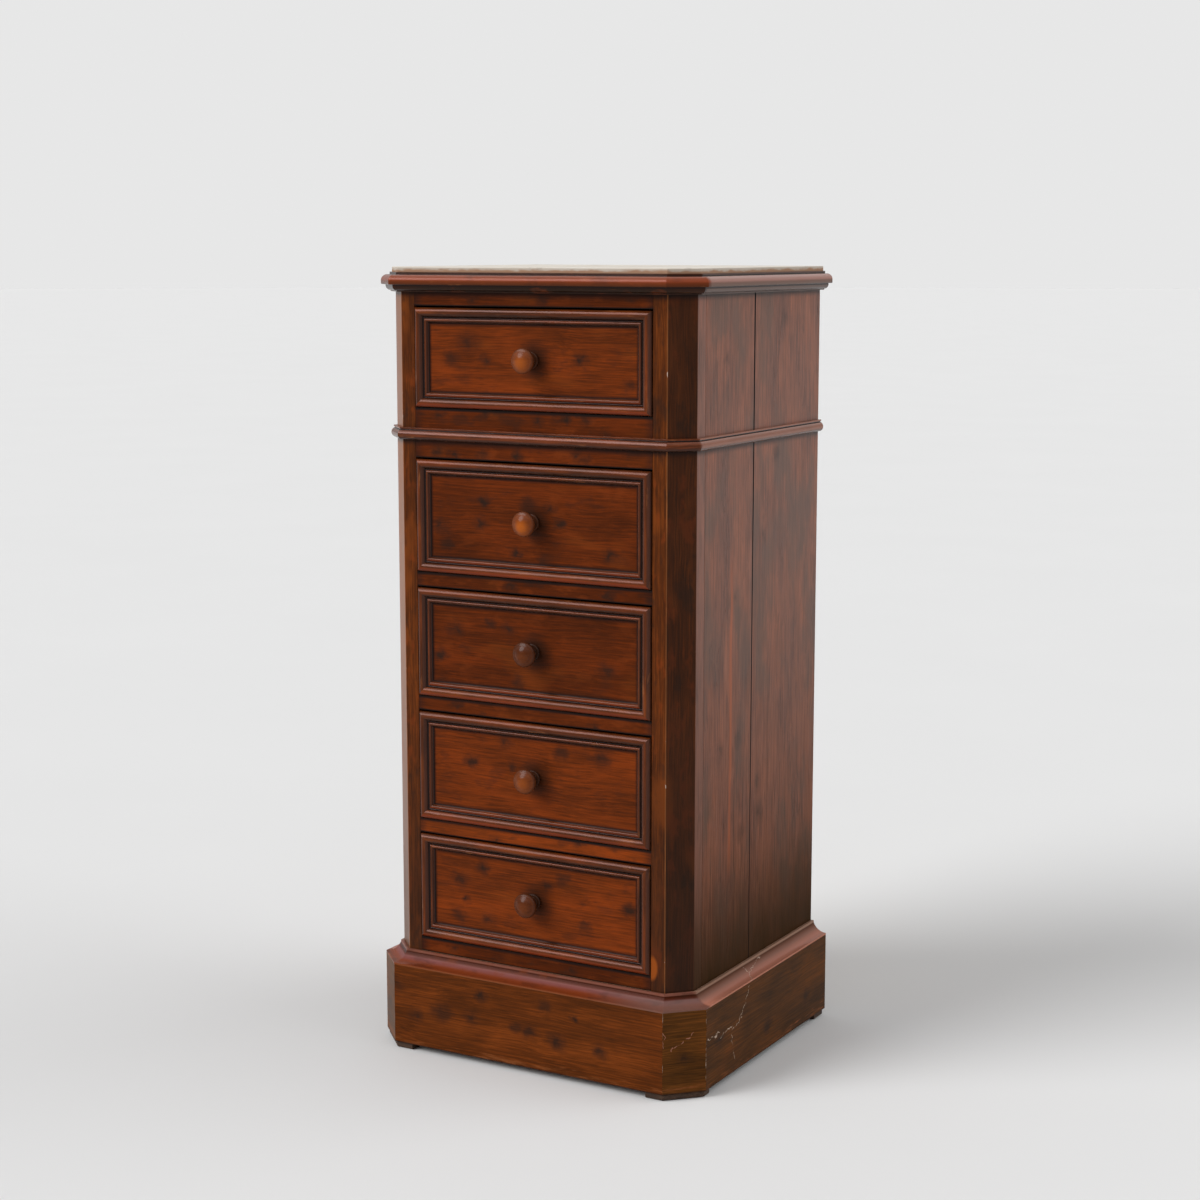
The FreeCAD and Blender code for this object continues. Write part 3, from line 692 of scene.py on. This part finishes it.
def tube_faces(first, rings, count):
    """Faces of a tube with closed ends: rings of count vertices each, numbered from first."""
    faces = []
    for ring in range(rings - 1):
        low = first + ring * count
        for place in range(count):
            after = (place + 1) % count
            faces.append((low + place, low + after, low + count + after, low + count + place))
    end = first + rings * count
    faces.append(tuple(reversed(range(first, first + count))))
    faces.append(tuple(range(end - count, end)))
    return faces


def moulding(name, path, runs, body, node, material):
    """Mitred moulding lengths. A run is (start, along, out, up, length, start slope, end slope):
    the slopes lean the ends along the run for each metre out from its back."""
    outline = eased(traced(path), MOULDING_EASE)
    relief_row = relief_of(outline)
    girth = girth_of(outline)
    vertices, faces, grain, relief = [], [], [], []
    for number, (start, along, out, up, length, start_slope, end_slope) in enumerate(runs):
        stations = max(2, round(length / STATION_PITCH) + 1)
        faces += tube_faces(len(vertices), stations, len(outline))
        for station in range(stations):
            share = station / (stations - 1)
            for place, point in enumerate(outline):
                reach = point.real * MM
                near = start_slope * reach
                far = length + end_slope * reach
                travel = near + (far - near) * share
                vertices.append(start + along * travel + out * reach + up * (point.imag * MM))
                grain.append((travel + number * RUN_SHIFT, girth[place], number * RUN_DEPTH))
                relief.append(relief_row[place])
    new_piece(name, vertices, faces, body, [node], material, grain, relief)


def run_between(start, end, up, side, start_slope, end_slope):
    """A moulding's length between two corners, which faces one side or the other of its way."""
    along = (end - start).normalized()
    return start, along, along.cross(up) * side, up, (end - start).length, start_slope, end_slope


def case_runs(level):
    """The five lengths round the case: left side, left cant, front, right cant, right side."""
    right = [(HALF_WIDTH - CANT_LEG, Y_FRONT), (HALF_WIDTH, Y_FRONT + CANT_LEG), (HALF_WIDTH, Y_BACK)]
    left = [(-x, y) for x, y in reversed(right)]
    corners = [Vector((*corner, level)) for corner in left + right]
    slopes = [0.0] + [MITRE_SLOPE] * (len(corners) - 2) + [0.0]
    up = Vector((0, 0, 1))
    return [run_between(start, end, up, 1, -start_slope, end_slope) for start, end, start_slope, end_slope
            in zip(corners, corners[1:], slopes, slopes[1:])]


def frame_runs(low, high):
    """The four lengths round a drawer front: bottom, right, top, left."""
    places = ((low.x, low.z), (high.x, low.z), (high.x, high.z), (low.x, high.z))
    corners = [Vector((x, Y_FIELD, z)) for x, z in places]
    up = Vector((0, -1, 0))
    pairs = zip(corners, corners[1:] + corners[:1])
    return [run_between(start, end, up, -1, 1.0, -1.0) for start, end in pairs]


def turned(rows, centre, forward, segments):
    """Vertices of rows of radius and reach, in millimetres, turned about the centre's line along Y."""
    vertices = []
    for radius, reach in rows:
        for segment in range(segments):
            angle = 2 * math.pi * segment / segments
            spoke = Vector((math.cos(angle), 0, math.sin(angle))) * (radius * MM)
            vertices.append(centre + spoke + Vector((0, forward * reach * MM, 0)))
    return vertices


def turned_knob(name, height, body, node, material):
    outline = eased(traced(KNOB), KNOB_EASE)
    rows = [(point.real, point.imag) for point in outline if point.real > KNOB_CORE]
    vertices = turned(rows, Vector((0, Y_FIELD, height)), -1, KNOB_SEGMENTS)
    faces = tube_faces(0, len(rows), KNOB_SEGMENTS)
    new_piece(name, vertices, faces, body, [node], material)


# Materials of the boards

def side_sheen(wood, height):
    """The shine of the sides, which falls towards the floor."""
    return wood.scaled(wood.band(height, 0.15, 0.85), 0.22, 0.012)


# Painted shade on the sides, darker towards the floor
def darken_low_sides(wood, height, mask=1.0):
    for high, low, amount in LOW_SIDE_STEPS:
        wood.shade(wood.times(mask, wood.band(height, high, low)), amount, LOW_SIDE_SHADE_TONE)


def shade_under_trim(wood, height):
    """Painted shade just under the cornice and the waist bead."""
    for level in (Z_CORNICE, Z_WAIST):
        below = wood.minus(level, height)
        near = wood.times(wood.band(below, SHADE_REACH, 0.0), wood.band(below, -2 * MM, 0.0))
        wood.shade(near, 0.85)


def front_board(node, seed, figure):
    """Wood with a level grain for a drawer front or a rail."""
    tones = lightened(FRONT_TONES, LIGHTNESS[node])
    return Wood(node + "_wood", tones, board("XZY"), seed, specular=0.05, amber=0.20, figure=figure)


def front_wood(node, seed):
    """A drawer front: knots, darker along the moulding, and a painted shadow round the knob."""
    wood = front_board(node, seed, 1.25)
    wood.mottle(0.26)
    wood.knots(KNOTS[node])
    low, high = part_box(node)
    middle = (low + high) / 2
    x, z, _ = wood.axes(wood.place)
    edge_x = wood.minus((high.x - low.x) / 2 - FRAME_WIDTH, wood.math("ABSOLUTE", x))
    edge_z = wood.minus((high.z - low.z) / 2 - FRAME_WIDTH, wood.off(z, middle.z))
    edge = wood.math("MINIMUM", edge_x, edge_z)
    wood.shade(wood.near(edge, 4, -0.5), 0.8)
    # Painted shadow round the knob, a little to its right
    round_knob = wood.vector("DISTANCE", wood.flat(wood.place), (KNOB_SHADOW_X, middle.z, 0))
    wood.shade(wood.near(round_knob, 34, 10), 0.72, KNOT_AND_SHADE_TONE)
    return wood.finish()


def rail_wood(node, seed):
    """A front rail: blotches, knots, darker at its ends, and painted shadow along its edges and under the
    trim.
    """
    wood = front_board(node, seed, 1.0)
    wood.mottle(0.45)
    wood.knots(KNOTS[node])
    x, height, _ = wood.axes(wood.place)
    low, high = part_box(node)
    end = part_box("drawer_1_front")[1].x
    wood.shade(wood.band(wood.math("ABSOLUTE", x), end - 14 * MM, end + 2 * MM), 0.55)
    # Painted shadow along the rail's lower and upper edges, by the drawer fronts
    wood.shade(wood.near(wood.minus(height, low.z), 2.6, 0.4))
    wood.shade(wood.near(wood.minus(high.z, height), 5.0, 1.6), 0.95)
    shade_under_trim(wood, height)
    return wood.finish()


def post_wood(node, seed):
    """A corner post: amber stile, a cant painted dark with shade on the right and glossy with a pale
    painted reflection on the left, a rubbed arris.
    """
    wood = Wood(node + "_wood", POST_TONES, board("ZXY"), seed, amber=0.45)
    side = 1.0 if node == "right_post" else -1.0
    cant = wood.facing((side * HALF_ROOT, -HALF_ROOT, 0))
    flank = wood.facing((side, 0, 0))
    height, x, _ = wood.axes(wood.place)
    cant_tone, cant_amount, cant_sheen = CANT_LOOKS[node]
    wood.mottle(0.58)
    # Painted cant tone: shade on the right, a pale reflection on the left
    wood.shade(cant, cant_amount, cant_tone)
    # The flank takes the sides' tones, partly a painted reflection
    wood.cover(flank, wood.toned(FLANK_TONES))
    wood.shade(wood.minus(wood.band(height, 0.60, 0.20), flank), 0.50, KNOT_AND_SHADE_TONE)
    # Painted shade low on the flank and under the trim
    darken_low_sides(wood, height, flank)
    shade_under_trim(wood, height)
    sheen = wood.scaled(cant, cant_sheen, POST_SHEEN)
    change = wood.minus(side_sheen(wood, height), sheen)
    wood.put("Specular IOR Level", wood.scaled(flank, change, sheen))
    off_patch = wood.vector("DISTANCE", wood.flat(wood.place, 0.5), (0.5 * AMBER_PATCH_Z, AMBER_PATCH_X, 0))
    wood.cover(wood.near(off_patch, 10, 6), AMBER_TONE)
    arris = wood.off(wood.times(x, side), HALF_WIDTH - CANT_LEG)
    wood.shade(wood.near(arris, 1.0, 0.3), 0.40, WORN_TONE)
    wood.wear(wood.near(arris, 1.6, 0.2), WORN_TONE, 0.50, 0.66, (14, 400, 400))
    wood.wear(wood.near(arris, 1.5, 0.3), SPECK_TONE, 0.66, 0.70, (45, 260, 260))
    return wood.finish()


def side_hairlines(wood):
    """Fine dark and pale lines along the grain, and dull patches."""
    dark = wood.noise(wood.grain, (4, 430, 430), roughness=0.75)
    wood.shade(wood.band(dark, 0.50, 0.64), 0.42, KNOT_AND_SHADE_TONE)
    pale = wood.apart(wood.grain, (1.9, 4.1, 2.3), (4, 520, 520), roughness=0.75)
    wood.shade(wood.band(pale, 0.52, 0.66), 0.40, PALE_HAIR_TONE)
    dull = wood.apart(wood.moved, (5.7, 0.9, 3.3), (7, 16, 16), 4.0, 0.6)
    wood.shade(wood.band(dull, 0.46, 0.68), 0.55, DULL_TONE)


def side_wood(node, seed):
    """A side board, paler with a painted reflection: hairlines, faint knots, a red streak, painted shade
    low down and under the trim, and dirt along the open joint.
    """
    wood = Wood(node + "_wood", SIDE_TONES, board("ZYX"), seed, roughness=0.33, amber=0.15, figure=1.25)
    side_hairlines(wood)
    wood.knots([(height, y, radius) for y, height, radius in SIDE_KNOTS], 0.45)
    height, y, _ = wood.axes(wood.place)
    streak = wood.off(wood.math("ADD", y, wood.bend), SIDE_STREAK_Y)
    stretch = wood.times(wood.band(height, 0.24, 0.34), wood.band(height, 0.76, 0.64))
    wood.shade(wood.times(wood.near(streak, 6, 1), stretch), 0.55, STREAK_TONE)
    # Painted shade towards the floor and under the trim
    darken_low_sides(wood, height)
    shade_under_trim(wood, height)
    wood.put("Specular IOR Level", side_sheen(wood, height))
    low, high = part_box("right_side_front_board")
    rise = wood.math("DIVIDE", wood.minus(height, low.z), high.z - low.z)
    rear_edge = wood.scaled(rise, JOINT_TAPER, high.y + JOINT_GAP)
    off_joint = wood.math("MAXIMUM", wood.minus(high.y, y), wood.minus(y, rear_edge))
    wood.shade(wood.near(off_joint, 1.3, 0.1))
    return wood.finish()


def plinth_wood(name, place, seed, tones, knots, scratches=(), scratch_tone=SCRATCH_TONE, arrises=()):
    """Plinth boards: level grain, knots, pale scratches, a rubbed lower edge and chipped arrises."""
    wood = Wood(name, tones, place, seed, specular=0.04, amber=0.22)
    wood.knots(knots)
    height = wood.minus(wood.axes(wood.own_place())[2], Z_PLINTH)
    wood.wear(wood.near(height, 26, 2), SCUFF_TONE, 0.46, 0.72, (26, 220, 220))
    wood.shade(wood.near(height, 2.5, 0.2), 0.6)
    if scratches:
        wood.strokes(scratches, PLINTH_SCRATCH_WIDTH, scratch_tone)
    for arris in arrises:
        off_arris = wood.off(wood.axes(wood.place)[0], arris)
        wood.wear(wood.near(off_arris, 1.3, 0.3), SCRATCH_TONE, 0.50, 0.66, (160, 60, 160))
    return wood.finish()


def inner_wood(name, place, seed, joints=()):
    """Unpolished wood behind the fronts and at the back, dark along joints at the given X."""
    wood = Wood(name, INNER_TONES, place, seed, specular=0.25, roughness=0.62)
    dust = wood.noise(wood.moved, (5, 7, 7), 4.0)
    wood.shade(wood.band(dust, 0.50, 0.75), 0.5, DUST_TONE)
    x = wood.axes(wood.own_place())[0]
    for joint in joints:
        wood.shade(wood.near(wood.off(x, joint), 1.6, 0.3))
    return wood.finish()


# Materials of the mouldings and knobs

def trim_wood(name, seed, tones=TRIM_TONES, specular=0.34):
    """Polished wood whose grain and relief are stored in the mesh of a moulding."""
    wood = Wood(name, tones, piece_grain, seed, specular, roughness=0.22, amber=0.4)
    wood.put("Specular Tint", TRIM_SHEEN)
    return wood


def on_sides(wood):
    """1 on the sides of the case, 0 at its front and on its cants."""
    corner = Y_FRONT + CANT_LEG
    return wood.band(wood.axes(wood.own_place())[1], corner - 6 * MM, corner + 3 * MM)


# Painted shade on the faces that turn downwards
def dark_underside(wood):
    wood.shade(wood.band(wood.axes(wood.normal())[2], -0.10, -0.65), 0.78, KNOT_AND_SHADE_TONE)


def sweep_tones(wood, node, front, side):
    """Painted highlights, reflections and shade as tones from the bottom to the top of a node, at the front
    and on the sides, blotched at the front.
    Returns the share of the height and a mask of the front."""
    low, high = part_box(node)
    flank = on_sides(wood)
    height = wood.axes(wood.own_place())[2]
    share = wood.math("DIVIDE", wood.minus(height, low.z), high.z - low.z)
    tones = wood.blend(flank, wood.ramp(share, *zip(*front)), wood.ramp(share, *zip(*side)))
    wood.shade(1.0, 1.02, tones)
    ahead = wood.minus(1.0, flank)
    wood.mottle(0.35, ahead)
    return share, ahead


def age_trim(wood, relief_range=QUIRK_RELIEF):
    """Darker in the hollows, and rubbed wood on the crests."""
    relief = wood.stored("relief", "Fac")
    wood.shade(wood.band(relief, *relief_range), 1.05)
    wood.wear(wood.band(relief, 0.12, 0.38), WORN_TONE, 0.60, 0.85, (20, 120, 120))


def cornice_wood():
    wood = trim_wood("cornice_wood", 81.0, CORNICE_TONES, 0.22)
    sweep_tones(wood, "cornice", CORNICE_FRONT, CORNICE_SIDE)
    age_trim(wood)
    return wood.finish()


def waist_wood():
    """The waist bead is paler on the sides of the case, a painted reflection, with painted shade on its
    underside.
    """
    wood = trim_wood("waist_wood", 83.0)
    wood.shade(on_sides(wood), 0.75, TRIM_SIDE_REFLECTION_TONE)
    dark_underside(wood)
    age_trim(wood)
    return wood.finish()


def cove_wood():
    """The cove is dull in its lower half by the right front corner, and scratched on its right side."""
    wood = trim_wood("cove_wood", 85.0, COVE_TONES, 0.06)
    share, ahead = sweep_tones(wood, "plinth_cove", COVE_FRONT, COVE_SIDE)
    x = wood.axes(wood.own_place())[0]
    dull = wood.times(wood.band(x, 0.08, 0.20), wood.band(share, 0.64, 0.52))
    wood.shade(wood.times(dull, ahead), 0.55, COVE_CORNER_TONE)
    age_trim(wood, COVE_RELIEF)
    last_run = (len(case_runs(Z_COVE)) - 1) * RUN_SHIFT / MM
    lines = [[(along + last_run, girth) for along, girth in line] for line in COVE_SCRATCHES]
    wood.strokes(lines, COVE_SCRATCH_WIDTH, SCRATCH_TONE)
    return wood.finish()


def frame_wood(name, seed):
    """A drawer frame: painted shade, dull and grey, on the upright faces, a painted reflection under the
    bottom length, a painted shadow line along the outer arris of the bottom and left lengths, and a dark
    foot on the inner slope."""
    wood = trim_wood(name, seed, specular=0.25)
    dark_underside(wood)
    x_facing, _, z_facing = wood.axes(wood.normal())
    _, girth, run = wood.axes(wood.place)
    # Painted shade on the upright faces
    wood.shade(wood.band(wood.math("ABSOLUTE", x_facing), 0.15, 0.55), 0.58, FRAME_UPRIGHT_SHADE_TONE)
    bottom = wood.band(run, 0.20, 0.10)
    left = wood.band(run, 0.90, 1.0)
    # Painted reflection under the bottom length
    underside = wood.times(bottom, wood.band(z_facing, 0.10, -0.25))
    wood.shade(underside, 0.48, FRAME_UNDER_REFLECTION_TONE)
    # Painted shadow line along the outer arris of the bottom and left lengths
    arris = wood.band(girth, FRAME_ARRIS + 2.5 * MM, FRAME_ARRIS)
    wood.shade(wood.times(wood.math("MAXIMUM", bottom, left), arris), 0.90)
    age_trim(wood)
    wood.shade(wood.band(girth, FRAME_FILLET - 0.5 * MM, FRAME_FILLET + 0.5 * MM), 0.95)
    return wood.finish()


def knob_wood(name, seed, height, lightness, glow):
    """A knob: a painted amber glow on its face, a darker rim, and painted shade by the collar."""
    tones = lightened(KNOB_TONES, lightness)
    wood = Wood(name, tones, board("XZY"), seed, specular=0.12, roughness=0.20, figure=0.5)
    reach = wood.minus(Y_FIELD, wood.axes(wood.place)[2])
    flat = wood.flat(wood.place)
    off_glow = wood.vector("DISTANCE", flat, (KNOB_GLOW_X, height - KNOB_GLOW_DROP, 0))
    face = wood.times(wood.near(off_glow, 14, 3), wood.band(reach, 20 * MM, 24 * MM))
    # Painted glow on the knob's face
    wood.cover(wood.times(face, glow), KNOB_GLOW_TONE)
    # Painted shade by the collar
    wood.shade(wood.near(reach, 19, 13), 0.75, KNOT_AND_SHADE_TONE)
    off_axis = wood.vector("DISTANCE", flat, (0, height, 0))
    wood.shade(wood.band(off_axis, 12 * MM, 17 * MM), 0.5, KNOB_RIM_TONE)
    return wood.finish()


# Other materials

def nail_iron():
    """Dull iron with patches of rust."""
    iron = Surface("nail_iron", 0.3)
    rust = iron.noise(iron.own_place(), (260, 260, 260), 4.0)
    iron.put("Base Color", iron.ramp(rust, (0.35, 0.5, 0.65), IRON_TONES))
    iron.put("Roughness", iron.scaled(rust, 0.4, 0.4))
    iron.put("Metallic", 0.5)
    iron.bump(rust, 0.3)
    return iron.material


def slab_stone():
    """Pale stone with soft grey veins, and ochre stains along its edges."""
    stone = Surface("slab_stone", 0.2)
    place = stone.own_place()
    clouds = stone.noise(place, (9, 9, 9), 5.0)
    colour = stone.ramp(clouds, (0.30, 0.55, 0.75), STONE_TONES)
    push = stone.vector("MULTIPLY", stone.drift(place, 6.0, 2.0), (0.22, 0.22, 0.22))
    bent = stone.vector("ADD", place, push)
    off_vein = stone.off(stone.noise(bent, (7, 7, 7), 4.0), 0.5)
    vein = stone.times(stone.band(off_vein, 0.022, 0.0), 0.40)
    colour = stone.blend(vein, colour, VEIN_TONE)
    depth = stone.minus(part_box("stone_slab")[1].z, stone.axes(place)[2])
    edge = stone.times(stone.band(depth, 0.2 * MM, 1.2 * MM), 0.6)
    colour = stone.blend(edge, colour, STONE_EDGE_TONE)
    spread = stone.swing(stone.noise(place, (60, 60, 160), 4.0), 9 * MM, depth)
    stained = stone.times(stone.band(spread, 1.8 * MM, 5.6 * MM), 0.85)
    stone.put("Base Color", stone.blend(stained, colour, STAIN_TONE))
    stone.put("Roughness", stone.scaled(clouds, 0.25, 0.52))
    stone.bump(stone.noise(place, (900, 900, 900)), 0.10)
    return stone.material


# Dressing the frame; each piece's wood is given a seed

def dress_drawers():
    for number in DRAWERS:
        name = "drawer_%d_" % number
        dress(name + "front", front_wood(name + "front", number * 3.7))
        for part, order in DRAWER_BOX:
            dress(name + part, inner_wood(name + part + "_wood", board(order), number * 2.3))


def dress_case():
    for place, node in enumerate(RAILS):
        dress(node, rail_wood(node, 20.0 + place * 1.9), BOARD_EASE)
    for node, seed in (("left_post", 31.0), ("right_post", 33.7)):
        dress(node, post_wood(node, seed), POST_EASE)
    for place, node in enumerate(SIDE_BOARDS):
        dress(node, side_wood(node, 51.0 + place * 3.3), BOARD_EASE)


def cant_arrises():
    """The places of the plinth cants' front and rear arrises, along the cants."""
    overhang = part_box("plinth_sides")[1].x - HALF_WIDTH
    reach = overhang * MITRE_SLOPE
    front = (HALF_WIDTH - CANT_LEG + reach + Y_FRONT - overhang) * HALF_ROOT
    rear = (HALF_WIDTH + overhang + Y_FRONT + CANT_LEG - reach) * HALF_ROOT
    return front, rear


def dress_plinth():
    front = plinth_wood("plinth_front_wood", board("XZY"), 61.0, PLINTH_TONES, KNOTS["plinth_front"])
    sides = plinth_wood("plinth_side_wood", board("YZX"), 63.0, PLINTH_SIDE_TONES, PLINTH_SIDE_KNOTS,
                        SIDE_SCRATCHES)
    cants = plinth_wood("plinth_cant_wood", cant_board, 65.0,
                        lightened(PLINTH_SIDE_TONES, PLINTH_CANT_LIGHTNESS), PLINTH_CANT_KNOTS,
                        CANT_SCRATCHES, PALE_HAIR_TONE, cant_arrises())
    dress("plinth_front", front, BOARD_EASE)
    dress("plinth_sides", sides, BOARD_EASE)
    dress("plinth_cants", cants, BOARD_EASE)
    feet = Wood("foot_wood", FOOT_TONES, board("XZY"), 41.0, specular=0.2, roughness=0.6)
    dress("feet", feet.finish())


def dress_top_back_and_inside():
    dress("stone_slab", slab_stone())
    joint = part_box("back_boards")[1].x / BACK_BOARD_COUNT
    dress("back_boards", inner_wood("back_wood", back_board, 71.0, (-joint, joint)), BACK_EASE)
    for place, (node, order) in enumerate(INSIDE):
        dress(node, inner_wood(node + "_wood", board(order), 72.3 + place * 1.3))


def add_case_trim():
    moulding("cornice_trim", CORNICE, case_runs(Z_CORNICE), "case", "cornice", cornice_wood())
    moulding("waist_trim", WAIST, case_runs(Z_WAIST), "case", "waist_bead", waist_wood())
    moulding("cove_trim", COVE, case_runs(Z_COVE), "case", "plinth_cove", cove_wood())


def add_drawer_trim():
    for number in DRAWERS:
        name = "drawer_%d" % number
        runs = frame_runs(*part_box(name + "_moulding"))
        material = frame_wood(name + "_frame_wood", 90.0 + number * 1.7)
        moulding(name + "_frame", FRAME_MOULDING, runs, name, name + "_moulding", material)
        low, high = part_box(name + "_knob")
        height = (low.z + high.z) / 2
        material = knob_wood(name + "_knob_wood", 100.0 + number * 2.1, height, *KNOB_LOOKS[number])
        turned_knob(name + "_turned_knob", height, name, name + "_knob", material)


def add_nails():
    """Domed nail heads along both edges of the back, and into the case bottom."""
    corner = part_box("back_boards")[1]
    edge = corner.x - NAIL_INSET * MM
    places = [(side * edge, level * MM) for side in (-1, 1) for level in NAIL_LEVELS]
    low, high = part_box("case_bottom")
    places += [(x * MM, (low.z + high.z) / 2) for x in NAIL_LINE]
    vertices, faces = [], []
    for x, z in places:
        faces += tube_faces(len(vertices), len(NAIL_HEAD), NAIL_SEGMENTS)
        vertices += turned(NAIL_HEAD, Vector((x, corner.y, z)), 1, NAIL_SEGMENTS)
    new_piece("back_nails", vertices, faces, "case", [], nail_iron())


# Stage, light and camera

def stage_floor():
    """A pale round floor."""
    surface = Surface("floor_paint", 0.1)
    clouds = surface.noise(surface.own_place(), (1.5, 1.5, 1.5))
    surface.put("Base Color", surface.ramp(clouds, (0.3, 0.7), FLOOR_TONES))
    surface.put("Roughness", 0.9)
    angles = [2 * math.pi * side / FLOOR_SIDES for side in range(FLOOR_SIDES)]
    corners = [(FLOOR_RADIUS * math.cos(angle), FLOOR_RADIUS * math.sin(angle), 0) for angle in angles]
    mesh = bpy.data.meshes.new("floor")
    mesh.from_pydata(corners, [], [tuple(range(FLOOR_SIDES))])
    mesh.materials.append(surface.material)
    floor = new_object("floor", mesh)


def soft_lamp(name, place, strength, spread):
    """A far lamp that shines from its place to the origin."""
    data = bpy.data.lights.new(name, "SUN")
    data.energy = strength
    data.angle = math.radians(spread)
    lamp = new_object(name, data)
    lamp.location = place
    lamp.rotation_euler = (-Vector(place)).to_track_quat("-Z", "Y").to_euler()


def studio_world():
    """White surroundings: one level as a lamp, one as the background that is seen, and in reflections
    a level that rises from the horizon to overhead."""
    world = bpy.data.worlds.new("studio")
    sky = Tree(world)
    path = sky.node("LightPath").outputs
    seen = sky.math("MAXIMUM", path["Is Camera Ray"], path["Is Transmission Ray"])
    level = sky.scaled(seen, WORLD_BACKGROUND - WORLD_LIGHT, WORLD_LIGHT)
    rise = sky.axes(sky.node("TexCoord").outputs["Generated"])[2]
    low, high = WORLD_SHEEN
    overhead = sky.scaled(sky.band(rise, 0.15, 0.85), high - low, low)
    strength = sky.scaled(path["Is Glossy Ray"], sky.minus(overhead, level), level)
    glow = sky.node("Background", (1, 1, 1, 1), strength)
    sky.node("OutputWorld", glow.outputs[0])
    bpy.context.scene.world = world


def photo_camera():
    """The camera that was fitted to the object's corners in the photograph."""
    data = bpy.data.cameras.new("camera")
    data.sensor_width = CAMERA_SENSOR
    data.lens = CAMERA_LENS
    camera = new_object("camera", data)
    camera.location = CAMERA_PLACE
    camera.rotation_euler = (CAMERA_TILT, 0, CAMERA_TURN)
    bpy.context.scene.camera = camera


dress_drawers()
dress_case()
dress_plinth()
dress_top_back_and_inside()
add_case_trim()
add_drawer_trim()
add_nails()
stage_floor()
studio_world()
for lamp in LAMPS:
    soft_lamp(*lamp)
photo_camera()
bpy.context.scene.view_settings.view_transform = "Standard"
